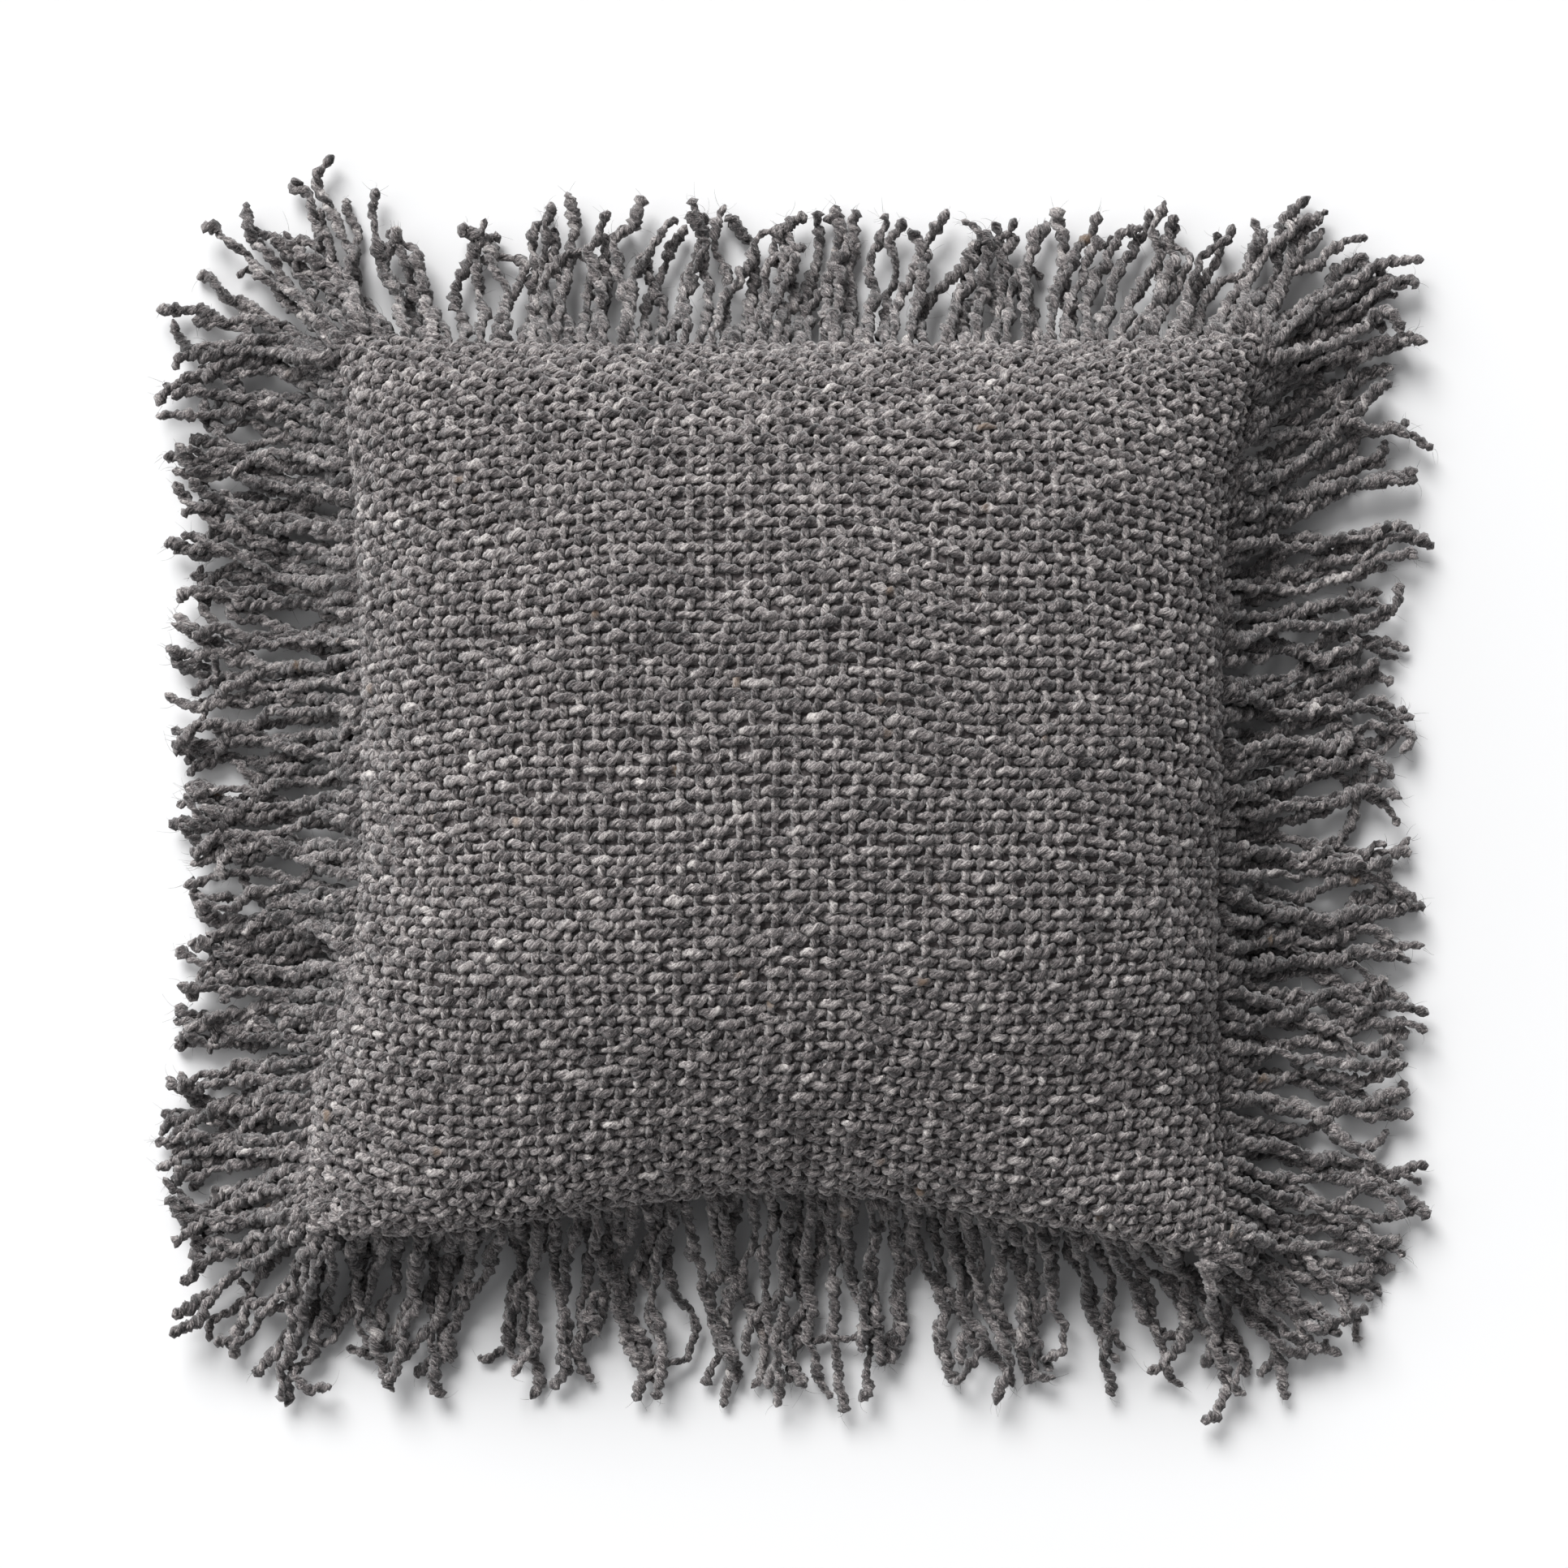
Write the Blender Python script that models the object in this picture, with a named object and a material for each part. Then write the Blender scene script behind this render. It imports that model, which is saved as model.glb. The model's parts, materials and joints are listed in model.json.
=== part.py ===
"""Fringed throw pillow: a woven wool cover with a zip across its back, a cord fringe in its seam and
a stuffed insert.

Metres, +Z up. The pillow lies on its back with its face up. The origin is under its middle, on the
surface that it rests on. The zip runs along X, near the lower edge (-Y) of the back.
"""

from math import atan2, cos, pi, radians, sin

import bmesh
import bpy
from mathutils import Matrix, Vector

# --- Driving dimensions -------------------------------------------------------------------------

# The stuffed cover, cut 0.508 square
HALF_MID = 0.2315            # half width at the middle of a side, where the sides pull in
HALF_CORNER = 0.2475         # half width at the corners
SEAM_Z = 0.052               # height of the seam that joins face and back
CROWN_Z = 0.156              # top of the face
CLOTH = 0.005                # chunky hand-woven wool
BACK_FLOOR = 0.004           # cloth thickness where the back lies flat
RAMP = 0.115                 # how far in from the seam the back comes down to the floor
PANEL_CELLS = 14             # grid cells across a panel

# The seam and the fringe's heading tape, sandwiched between the two edges
SEAM_GAP = 0.0009            # from the seam's plane to the edge of each panel
TAPE_HALF = 0.0006
HEADING_IN = 0.006           # heading tape inside the outline
HEADING_OUT = 0.003          # and outside it
CLEAR = 0.0003               # gap between touching pieces
FRINGE_OFF = 0.0012          # from the heading tape to the cords' roots

# The insert, a stuffed cotton casing
INSERT_IN = 0.012            # from the cover's outline to the casing's
INSERT_UP = 0.0016           # clearance over the cover's own thickness
CASING = 0.0012
FILL_CLEAR = 0.0006
BACK_FULLNESS = 0.7          # below 1, the insert's back stands clear of the zip

# The fringe, plied wool cords in groups
FRINGE_X = 0.360             # reach from the middle to the tips, sideways
FRINGE_Y = 0.344             # and up and down
CORD = 0.0062
CORDS_PER_GROUP = 6
GROUPS_PER_SIDE = 5
CORDS_PER_CORNER = 5
CORNER_FAN = radians(66)
FAN_ROOT = 0.016             # radius of the fan's root at a corner
FAN_SHARE = 0.09             # share of each end of a side that the corner's fan takes

# The zip, along X in the sloping part of the back
ZIP_IN = 0.040               # from the lower seam
SLOT_HALF = 0.0045
SLOT_LENGTH_HALF = 0.188
SLOT_CLOTH = 0.0028          # cloth thickness, pressed, along the slot
COIL_LENGTH_HALF = 0.174
COIL_IN, COIL_OUT = 0.0008, 0.0034
COIL_LOW, COIL_HIGH = 0.0012, 0.0032
ZIP_TAPE_WIDTH = 0.0142
ZIP_TAPE = 0.0008
ZIP_TAPE_LOW = 0.0040        # the tape lies behind the cloth
STOP_LENGTH = 0.0035
SLIDER_REST_X = 0.168
SLIDER_LENGTH, SLIDER_WIDTH = 0.010, 0.0084
PLATE = 0.0019
PULL_LENGTH = 0.022
PULL_THICK = 0.001
PIVOT_DEPTH = 0.00185        # the pull's pivot, out from the back's surface

LABEL_WIDTH, LABEL_LENGTH, LABEL = 0.022, 0.034, 0.0005
LABEL_X = 0.110

# --- Blender helpers ----------------------------------------------------------------------------


def clear_scene():
    for thing in list(bpy.data.objects):
        bpy.data.objects.remove(thing, do_unlink=True)


def material(name, colour, roughness, metallic=0.0):
    made = bpy.data.materials.new(name)
    made.use_nodes = True
    shader = made.node_tree.nodes["Principled BSDF"]
    shader.inputs["Base Color"].default_value = (*colour, 1.0)
    shader.inputs["Roughness"].default_value = roughness
    shader.inputs["Metallic"].default_value = metallic
    return made


def piece(name, bm, finish, parent=None, smooth=None):
    """Writes a bmesh as one named object. Its points are in world coordinates."""
    bmesh.ops.remove_doubles(bm, verts=bm.verts[:], dist=1e-6)
    bmesh.ops.recalc_face_normals(bm, faces=bm.faces[:])
    if bm.calc_volume(signed=True) < 0.0:
        bmesh.ops.reverse_faces(bm, faces=bm.faces[:])
    if parent is not None:
        bmesh.ops.transform(bm, matrix=parent.matrix_world.inverted(), verts=bm.verts[:])
    mesh = bpy.data.meshes.new(name)
    bm.to_mesh(mesh)
    bm.free()
    mesh.materials.append(finish)
    if smooth is not None:
        mesh.shade_smooth()
        mesh.set_sharp_from_angle(angle=smooth)
    made = bpy.data.objects.new(name, mesh)
    bpy.context.collection.objects.link(made)
    made.parent = parent
    return made


def axis_empty(name, place, parent=None):
    """An empty on a joint's axis, which carries what moves with it."""
    made = bpy.data.objects.new(name, None)
    made.empty_display_size = 0.02
    bpy.context.collection.objects.link(made)
    made.parent = parent
    made.location = place - (parent.matrix_world.translation if parent else Vector())
    bpy.context.view_layer.update()
    return made


def slab(columns, rows, lower, upper):
    """A grid turned into a closed slab. lower and upper give each corner's place from its two shares
    from 0 to 1."""
    bm = bmesh.new()
    bmesh.ops.create_grid(bm, x_segments=columns, y_segments=rows, size=0.5)
    under = bm.verts[:]
    shares = [(v.co.x + 0.5, v.co.y + 0.5) for v in under]
    raised = bmesh.ops.extrude_face_region(bm, geom=bm.faces[:])["geom"]
    over = [g for g in raised if isinstance(g, bmesh.types.BMVert)]
    above = [(v.co.x + 0.5, v.co.y + 0.5) for v in over]
    for vert, (s, t) in zip(under, shares):
        vert.co = lower(s, t)
    for vert, (s, t) in zip(over, above):
        vert.co = upper(s, t)
    return bm


# --- The form of the stuffed cover --------------------------------------------------------------


def eased(share):
    """A share from 0 to 1 as a place from -1 to 1, closer together towards the ends."""
    return sin((share - 0.5) * pi)


def plan(u, v, inset):
    """Where the point (u, v) of a panel lies in plan. The sides pull in between the corners."""
    spread = HALF_CORNER - HALF_MID
    half = HALF_MID - inset
    return u * (half + spread * v * v * abs(u) ** 8), v * (half + spread * u * u * abs(v) ** 8)


def bulge(t):
    return max(0.0, 1.0 - abs(t) ** 2.7) ** 0.5


def face_point(u, v, inset, lower):
    """On the crowned face, lower than the outside by lower."""
    x, y = plan(u, v, inset)
    rise = CROWN_Z - SEAM_Z - SEAM_GAP - lower
    return Vector((x, y, SEAM_Z + SEAM_GAP + rise * bulge(u) * bulge(v)))


def back_slope(v):
    """1 at the seam and 0 where the back reaches the floor."""
    return max(0.0, 1.0 - HALF_MID * (1.0 - abs(v)) / RAMP)


def back_point(u, v, inset, raised, fullness=1.0):
    """On the back: a straight slope in from the seam, then flat, raised above the outside."""
    x, y = plan(u, v, inset)
    edge = SEAM_Z - SEAM_GAP
    share = back_slope(max(abs(u), abs(v))) ** fullness
    return Vector((x, y, raised + (edge - raised) * share))


# The zip's own axes: X along it, Y across it up the back, and Z into the cover
ZIP_V = -(1.0 - ZIP_IN / HALF_MID)
ZIP_Y = ZIP_V * HALF_MID
ZIP_Z = (SEAM_Z - SEAM_GAP) * back_slope(ZIP_V)
ZIP_TILT = -atan2(SEAM_Z - SEAM_GAP, RAMP)
ZIP_FRAME = Matrix.Translation((0.0, ZIP_Y, ZIP_Z)) @ Matrix.Rotation(ZIP_TILT, 4, "X")

# --- The cover ----------------------------------------------------------------------------------


def face_panel(wool):
    bm = slab(
        PANEL_CELLS,
        PANEL_CELLS,
        lambda s, t: face_point(eased(s), eased(t), CLOTH, CLOTH),
        lambda s, t: face_point(eased(s), eased(t), 0.0, 0.0),
    )
    return piece("cover_front_panel", bm, wool, smooth=radians(50))


def back_panel(name, wool, side):
    """The back above the zip (side +1) or below it (side -1). Its edge at the zip is straight along
    the slot, and past the slot's ends the two panels meet."""
    lines = [eased(k / PANEL_CELLS) for k in range(PANEL_CELLS + 1)]
    lines = [v for v in lines if side * (v - ZIP_V) > 0.0]
    lines = [ZIP_V, *lines] if side > 0 else [*lines, ZIP_V]
    rows = len(lines) - 1
    zip_edge = 0.0 if side > 0 else 1.0

    def point(s, t, inset, raised):
        u = eased(s)
        at = back_point(u, lines[round(t * rows)], inset, raised)
        if t == zip_edge and abs(at.x) < SLOT_LENGTH_HALF:
            at = ZIP_FRAME @ Vector((at.x, side * SLOT_HALF, SLOT_CLOTH if raised else 0.0))
        elif t == zip_edge:
            at.y += side * CLEAR
        return at

    bm = slab(
        PANEL_CELLS,
        rows,
        lambda s, t: point(s, t, 0.0, 0.0),
        lambda s, t: point(s, t, CLOTH, BACK_FLOOR),
    )
    return piece(name, bm, wool, smooth=radians(50))


def heading_tapes(cotton):
    """A mitred tape along each side, caught in the seam, that the fringe's cords are sewn to."""
    reach = 1.0 - CLEAR / HALF_MID * 2.0
    for k, side in enumerate(("right", "top", "left", "bottom")):
        turn = Matrix.Rotation(k * pi / 2, 4, "Z")

        def point(s, t, z, turn=turn):
            v = (2.0 * s - 1.0) * reach
            inset = HEADING_IN - (HEADING_IN + HEADING_OUT) * t
            return turn @ Vector((*plan(1.0, v, inset), SEAM_Z + z))

        bm = slab(
            10,
            1,
            lambda s, t: point(s, t, -TAPE_HALF),
            lambda s, t: point(s, t, TAPE_HALF),
        )
        piece(f"fringe_heading_{side}", bm, cotton)


# --- The insert ---------------------------------------------------------------------------------


def insert(cotton, fibre):
    face_lower = CLOTH + INSERT_UP
    back_raised = BACK_FLOOR + INSERT_UP

    def face(s, t, inner):
        return face_point(eased(s), eased(t), INSERT_IN + inner, face_lower + inner)

    def back(s, t, inner):
        return back_point(
            eased(s), eased(t), INSERT_IN + inner, back_raised + inner, BACK_FULLNESS
        )

    cells = PANEL_CELLS
    front_shell = slab(
        cells, cells, lambda s, t: face(s, t, CASING), lambda s, t: face(s, t, 0.0)
    )
    back_shell = slab(
        cells, cells, lambda s, t: back(s, t, 0.0), lambda s, t: back(s, t, CASING)
    )
    inner = CASING + FILL_CLEAR
    stuffing = slab(
        cells, cells, lambda s, t: back(s, t, inner), lambda s, t: face(s, t, inner)
    )
    piece("insert_casing_front", front_shell, cotton, smooth=radians(50))
    piece("insert_casing_back", back_shell, cotton, smooth=radians(50))
    piece("insert_filling", stuffing, fibre, smooth=radians(50))


# --- The fringe ---------------------------------------------------------------------------------

# How a cord falls from the seam to the floor: (share of its reach, height of its middle)
FALL = (
    (0.0, SEAM_Z),
    (0.10, SEAM_Z - 0.002),
    (0.30, 0.030),
    (0.48, 0.012),
    (0.66, CORD / 2 + 0.0010),
    (1.0, CORD / 2 + CLEAR),
)


def comb(cords, place):
    """A heading with cords that stand out from it, as one closed body. place turns a cord's number,
    its side (-1 or 1), its row in FALL and its layer (-1 or 1) into a point."""
    bm = bmesh.new()
    columns = 2 * cords - 1
    bmesh.ops.create_grid(bm, x_segments=columns, y_segments=1, size=0.5)
    bmesh.ops.transform(
        bm,
        matrix=Matrix.Diagonal((columns, 1.0, 1.0, 1.0)) @ Matrix.Translation((0.5, 0.5, 0.0)),
        verts=bm.verts[:],
    )
    bm.edges.ensure_lookup_table()
    ends = [
        e
        for e in bm.edges
        if all(v.co.y > 0.5 for v in e.verts) and round(min(v.co.x for v in e.verts)) % 2 == 0
    ]
    for _ in range(len(FALL) - 2):
        grown = bmesh.ops.extrude_edge_only(bm, edges=ends)["geom"]
        ends = [g for g in grown if isinstance(g, bmesh.types.BMEdge)]
        ends = [e for e in ends if abs(e.verts[0].co.x - e.verts[1].co.x) > 0.5]
        for vert in {v for e in ends for v in e.verts}:
            vert.co.y += 1.0
    under = bm.verts[:]
    raised = bmesh.ops.extrude_face_region(bm, geom=bm.faces[:])["geom"]
    over = [g for g in raised if isinstance(g, bmesh.types.BMVert)]
    for layer, verts in ((-1, under), (1, over)):
        for vert in verts:
            line, row = round(vert.co.x), round(vert.co.y)
            vert.co = place(line // 2, 2 * (line % 2) - 1, row, layer)
    return bm


def taper(row):
    """A cord's half thickness, slimmer at its tip."""
    return CORD / 2 * (0.7 if row == len(FALL) - 1 else 1.0)


def side_fringe(wool):
    """Groups of cords along each side, numbered anticlockwise."""
    reaches = {"right": FRINGE_X, "top": FRINGE_Y, "left": FRINGE_X, "bottom": FRINGE_Y}
    for k, (side, reach) in enumerate(reaches.items()):
        turn = Matrix.Rotation(k * pi / 2, 4, "Z")
        span = 2.0 * (1.0 - 2.0 * FAN_SHARE) / GROUPS_PER_SIDE
        for group in range(GROUPS_PER_SIDE):
            start = -1.0 + 2.0 * FAN_SHARE + span * group

            def place(cord, edge, row, layer, start=start, reach=reach, turn=turn):
                v = start + span * (cord + 0.5) / CORDS_PER_GROUP
                root_x, root_y = plan(1.0, v, -(HEADING_OUT + FRINGE_OFF))
                share, z = FALL[row]
                across = edge * taper(row)
                x = root_x + (reach - root_x) * share
                y = root_y * (1.0 + 0.06 * share) + across
                return turn @ Vector((x, y, z + layer * taper(row)))

            piece(f"fringe_{side}_{group + 1}", comb(CORDS_PER_GROUP, place), wool)


def corner_fringe(wool):
    """Cords that fan out round each corner."""
    names = ("top_right", "top_left", "bottom_left", "bottom_right")
    corner = HALF_CORNER + HEADING_OUT + FRINGE_OFF - FAN_ROOT / 2
    for k, name in enumerate(names):
        turn = Matrix.Rotation(k * pi / 2, 4, "Z")
        wide, tall = (FRINGE_X, FRINGE_Y) if k % 2 == 0 else (FRINGE_Y, FRINGE_X)

        def place(cord, edge, row, layer, wide=wide, tall=tall, turn=turn):
            angle = pi / 4 + CORNER_FAN * (cord / (CORDS_PER_CORNER - 1) - 0.5)
            ahead = Vector((cos(angle), sin(angle), 0.0))
            beside = Vector((-sin(angle), cos(angle), 0.0))
            root = Vector((corner, corner, 0.0)) + ahead * FAN_ROOT
            furthest = min(
                (wide - root.x - CORD / 2) / max(ahead.x, 0.01),
                (tall - root.y - CORD / 2) / max(ahead.y, 0.01),
            )
            share, z = FALL[row]
            half = taper(row) * (0.45 if row < 2 else 1.0)
            at = root + ahead * furthest * share + beside * edge * half
            return turn @ Vector((at.x, at.y, z + layer * taper(row)))

        piece(f"fringe_corner_{name}", comb(CORDS_PER_CORNER, place), wool)


# --- The zip ------------------------------------------------------------------------------------


def block(low, high):
    """A box between two corners of the zip's axes."""
    bm = bmesh.new()
    bmesh.ops.create_cube(bm, size=1.0)
    low, high = Vector(low), Vector(high)
    size = high - low
    bmesh.ops.transform(
        bm,
        matrix=ZIP_FRAME @ Matrix.Translation((low + high) / 2) @ Matrix.Diagonal((*size, 1.0)),
        verts=bm.verts[:],
    )
    return bm


def prism(outline, low, high, along):
    """An outline pushed out between two places on the axis named along, in the zip's axes."""
    bm = bmesh.new()
    order = {"x": lambda a, b, c: (c, a, b), "z": lambda a, b, c: (a, b, c)}[along]
    loop = [bm.verts.new(order(a, b, low)) for a, b in outline]
    cap = bm.faces.new(loop)
    pushed = bmesh.ops.extrude_face_region(bm, geom=[cap])["geom"]
    shift = Vector(order(0.0, 0.0, high - low))
    bmesh.ops.translate(
        bm, vec=shift, verts=[g for g in pushed if isinstance(g, bmesh.types.BMVert)]
    )
    bmesh.ops.transform(bm, matrix=ZIP_FRAME, verts=bm.verts[:])
    return bm


def zip_sides(woven, nylon):
    """Each half of the zip: a woven tape behind the cloth and a row of coil in the slot."""
    for name, side in (("upper", 1), ("lower", -1)):
        edges = sorted((side * COIL_IN, side * (COIL_IN + ZIP_TAPE_WIDTH)))
        tape = block(
            (-COIL_LENGTH_HALF - STOP_LENGTH, edges[0], ZIP_TAPE_LOW),
            (COIL_LENGTH_HALF + STOP_LENGTH, edges[1], ZIP_TAPE_LOW + ZIP_TAPE),
        )
        piece(f"zip_tape_{name}", tape, woven)
        edges = sorted((side * COIL_IN, side * COIL_OUT))
        row = block(
            (-COIL_LENGTH_HALF, edges[0], COIL_LOW), (COIL_LENGTH_HALF, edges[1], COIL_HIGH)
        )
        piece(f"zip_coil_{name}", row, nylon)


def zip_stops(metal):
    for name, way in (("closed", 1), ("open", -1)):
        ends = sorted(way * (COIL_LENGTH_HALF + extra) for extra in (CLEAR, CLEAR + STOP_LENGTH))
        stop = block((ends[0], -COIL_OUT, COIL_LOW), (ends[1], COIL_OUT, COIL_HIGH))
        piece(f"zip_stop_{name}_end", stop, metal)


BAIL_HALF_LENGTH, BAIL_HALF_WIDTH = 0.0035, 0.0011
BAIL_INSIDE, BAIL_OUTSIDE = PIVOT_DEPTH + 0.0008, PIVOT_DEPTH + 0.0018
PLATE_LOW = PIVOT_DEPTH - 0.00085


def zip_slider(metal, carrier):
    """Two plates joined by a web that runs between the coils, with a bail for the pull."""
    inner_low = ZIP_TAPE_LOW + ZIP_TAPE + CLEAR
    plate_high = COIL_LOW - CLEAR
    web = COIL_IN - CLEAR
    half = SLIDER_WIDTH / 2
    outline = (
        (-half, -PLATE_LOW),
        (half, -PLATE_LOW),
        (half, plate_high),
        (web, plate_high),
        (web, inner_low),
        (half, inner_low),
        (half, inner_low + PLATE / 2),
        (-half, inner_low + PLATE / 2),
        (-half, inner_low),
        (-web, inner_low),
        (-web, plate_high),
        (-half, plate_high),
    )
    ends = SLIDER_REST_X - SLIDER_LENGTH / 2, SLIDER_REST_X + SLIDER_LENGTH / 2
    body = piece("zip_slider", prism(outline, *ends, along="x"), metal, carrier)
    arch_side = (
        (-BAIL_HALF_LENGTH, 0.0),
        (-BAIL_HALF_LENGTH, -BAIL_OUTSIDE),
        (BAIL_HALF_LENGTH, -BAIL_OUTSIDE),
        (BAIL_HALF_LENGTH, 0.0),
        (BAIL_HALF_LENGTH - PULL_THICK, 0.0),
        (BAIL_HALF_LENGTH - PULL_THICK, -BAIL_INSIDE),
        (PULL_THICK - BAIL_HALF_LENGTH, -BAIL_INSIDE),
        (PULL_THICK - BAIL_HALF_LENGTH, 0.0),
    )
    bm = bmesh.new()
    loop = [bm.verts.new((SLIDER_REST_X + x, -BAIL_HALF_WIDTH, z)) for x, z in arch_side]
    cap = bm.faces.new(loop)
    pushed = bmesh.ops.extrude_face_region(bm, geom=[cap])["geom"]
    shift = (0.0, 2 * BAIL_HALF_WIDTH, 0.0)
    bmesh.ops.translate(
        bm, vec=shift, verts=[g for g in pushed if isinstance(g, bmesh.types.BMVert)]
    )
    bmesh.ops.transform(bm, matrix=ZIP_FRAME, verts=bm.verts[:])
    arch = piece("slider_bail_tool", bm, metal, carrier)
    arch.hide_render = True
    arch.display_type = "WIRE"
    join = body.modifiers.new("bail", "BOOLEAN")
    join.operation = "UNION"
    join.solver = "EXACT"
    join.object = arch


def zip_pull(metal, carrier):
    """A flat tab whose cross bar runs under the bail."""
    bar = PULL_THICK / 2
    arm_in, arm_out = BAIL_HALF_WIDTH + 0.0004, BAIL_HALF_WIDTH + 0.0016
    tab_half = 0.0036
    window_end = BAIL_HALF_LENGTH + 0.0009
    low, high = -PIVOT_DEPTH - bar, -PIVOT_DEPTH + bar
    frame = (
        (bar, -arm_out),
        (bar, arm_out),
        (-window_end, arm_out),
        (-window_end - 0.003, tab_half),
        (-PULL_LENGTH + 0.0015, tab_half),
        (-PULL_LENGTH, tab_half - 0.0015),
        (-PULL_LENGTH, -tab_half + 0.0015),
        (-PULL_LENGTH + 0.0015, -tab_half),
        (-window_end - 0.003, -tab_half),
        (-window_end, -arm_out),
    )
    outline = [(SLIDER_REST_X + x, y) for x, y in frame]
    pull = piece("zip_pull", prism(outline, low, high, along="z"), metal, carrier)
    window = block(
        (SLIDER_REST_X - window_end, -arm_in, low - PULL_THICK),
        (SLIDER_REST_X - bar, arm_in, high + PULL_THICK),
    )
    cutter = piece("pull_window_cutter", window, metal, carrier)
    cutter.hide_render = True
    cutter.display_type = "WIRE"
    cut = pull.modifiers.new("window", "BOOLEAN")
    cut.operation = "DIFFERENCE"
    cut.solver = "EXACT"
    cut.object = cutter


def care_label(satin):
    """A blank label caught in the lower seam. It hangs along the back."""
    away = CLEAR + LABEL
    out = Vector((0.0, sin(ZIP_TILT), -cos(ZIP_TILT)))

    def point(s, t, depth):
        u = (LABEL_X + LABEL_WIDTH * s) / HALF_MID
        v = -1.0 + (LABEL_LENGTH * t + CLEAR) / HALF_MID
        return back_point(u, v, 0.0, 0.0) + out * depth

    bm = slab(1, 4, lambda s, t: point(s, t, away + LABEL), lambda s, t: point(s, t, away))
    piece("care_label", bm, satin)


# --- Putting it together ------------------------------------------------------------------------


def build():
    clear_scene()
    wool = material("charcoal_wool", (0.125, 0.120, 0.122), 0.95)
    cotton = material("white_cotton", (0.72, 0.70, 0.66), 0.9)
    fibre = material("white_fibre", (0.85, 0.85, 0.84), 0.95)
    binding = material("charcoal_cotton_tape", (0.070, 0.068, 0.070), 0.9)
    nylon = material("black_nylon", (0.030, 0.030, 0.032), 0.45)
    nickel = material("dark_nickel", (0.26, 0.25, 0.24), 0.35, 1.0)
    satin = material("white_satin", (0.80, 0.79, 0.77), 0.55)

    face_panel(wool)
    back_panel("cover_back_panel_upper", wool, 1)
    back_panel("cover_back_panel_lower", wool, -1)
    heading_tapes(binding)
    side_fringe(wool)
    corner_fringe(wool)
    insert(cotton, fibre)
    zip_sides(binding, nylon)
    zip_stops(nickel)
    pivot = ZIP_FRAME @ Vector((SLIDER_REST_X, 0.0, -PIVOT_DEPTH))
    slide_axis = axis_empty("zip_slide_axis", ZIP_FRAME @ Vector((SLIDER_REST_X, 0.0, 0.0)))
    pull_axis = axis_empty("zip_pull_axis", pivot, slide_axis)
    zip_slider(nickel, slide_axis)
    zip_pull(nickel, pull_axis)
    care_label(satin)


build()
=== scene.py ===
import json
from math import cos, pi, radians, sin

import bmesh
import bpy
import numpy as np
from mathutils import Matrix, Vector

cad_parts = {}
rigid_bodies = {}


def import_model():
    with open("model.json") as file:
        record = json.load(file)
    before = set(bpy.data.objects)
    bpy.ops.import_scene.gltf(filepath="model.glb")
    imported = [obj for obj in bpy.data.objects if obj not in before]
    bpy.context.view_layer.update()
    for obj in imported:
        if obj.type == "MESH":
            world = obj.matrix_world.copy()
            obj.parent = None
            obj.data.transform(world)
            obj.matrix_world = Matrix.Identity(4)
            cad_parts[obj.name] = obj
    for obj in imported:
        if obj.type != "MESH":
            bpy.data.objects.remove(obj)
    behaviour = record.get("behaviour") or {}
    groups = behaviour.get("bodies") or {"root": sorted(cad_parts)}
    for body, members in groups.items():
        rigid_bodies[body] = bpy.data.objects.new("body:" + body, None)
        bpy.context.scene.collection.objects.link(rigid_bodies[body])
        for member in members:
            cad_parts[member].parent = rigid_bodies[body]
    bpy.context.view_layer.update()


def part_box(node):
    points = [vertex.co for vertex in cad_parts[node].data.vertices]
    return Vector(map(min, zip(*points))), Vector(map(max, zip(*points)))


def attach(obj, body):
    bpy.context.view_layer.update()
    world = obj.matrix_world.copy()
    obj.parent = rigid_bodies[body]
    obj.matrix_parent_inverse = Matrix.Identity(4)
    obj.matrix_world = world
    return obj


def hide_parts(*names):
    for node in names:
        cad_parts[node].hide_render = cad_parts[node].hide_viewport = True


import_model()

chance = np.random.default_rng(41)

# --- The table and the light ----------------------------------------------------------------------
# A white table top, seen from straight above, with two soft lamps to the upper left, one broader
# than the other, and pale light from everywhere else.

CAMERA_HEIGHT = 2.6
VIEW_WIDTH = 0.8729          # of table top, edge to edge of the picture
SENSOR = 36.0
TABLE_HALF = 6.0
TABLE_WHITE = (0.935, 0.935, 0.94, 1)
LAMP_FROM = Vector((-0.40, 0.93, 0.88))
BROAD_FROM = Vector((-1.0, 0.64, 0.62))
ROOM_PALE, ROOM_LIGHT = (0.97, 0.98, 1.0, 1), 0.205

bpy.context.scene.view_settings.view_transform = "Standard"

bm = bmesh.new()
bmesh.ops.create_grid(bm, x_segments=2, y_segments=2, size=TABLE_HALF)
table = bpy.data.objects.new("table_top", bpy.data.meshes.new("table_top"))
bm.to_mesh(table.data)
bm.free()
bpy.context.collection.objects.link(table)
white = bpy.data.materials.new("table_white")
white.use_nodes = True
painted = white.node_tree.nodes["Principled BSDF"]
painted.inputs["Base Color"].default_value = TABLE_WHITE
painted.inputs["Roughness"].default_value = 0.75
table.data.materials.append(white)

for name, place, energy, angle in (
    ("soft_lamp", LAMP_FROM, 2.85, 32),
    ("broad_lamp", BROAD_FROM, 1.95, 95),
):
    lamp = bpy.data.objects.new(name, bpy.data.lights.new(name, "SUN"))
    lamp.data.energy = energy
    lamp.data.angle = radians(angle)
    lamp.rotation_euler = place.to_track_quat("Z", "Y").to_euler()
    bpy.context.collection.objects.link(lamp)

sky = bpy.data.worlds.new("pale_room")
sky.use_nodes = True
sky.node_tree.nodes["Background"].inputs["Color"].default_value = ROOM_PALE
sky.node_tree.nodes["Background"].inputs["Strength"].default_value = ROOM_LIGHT
bpy.context.scene.world = sky

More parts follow.
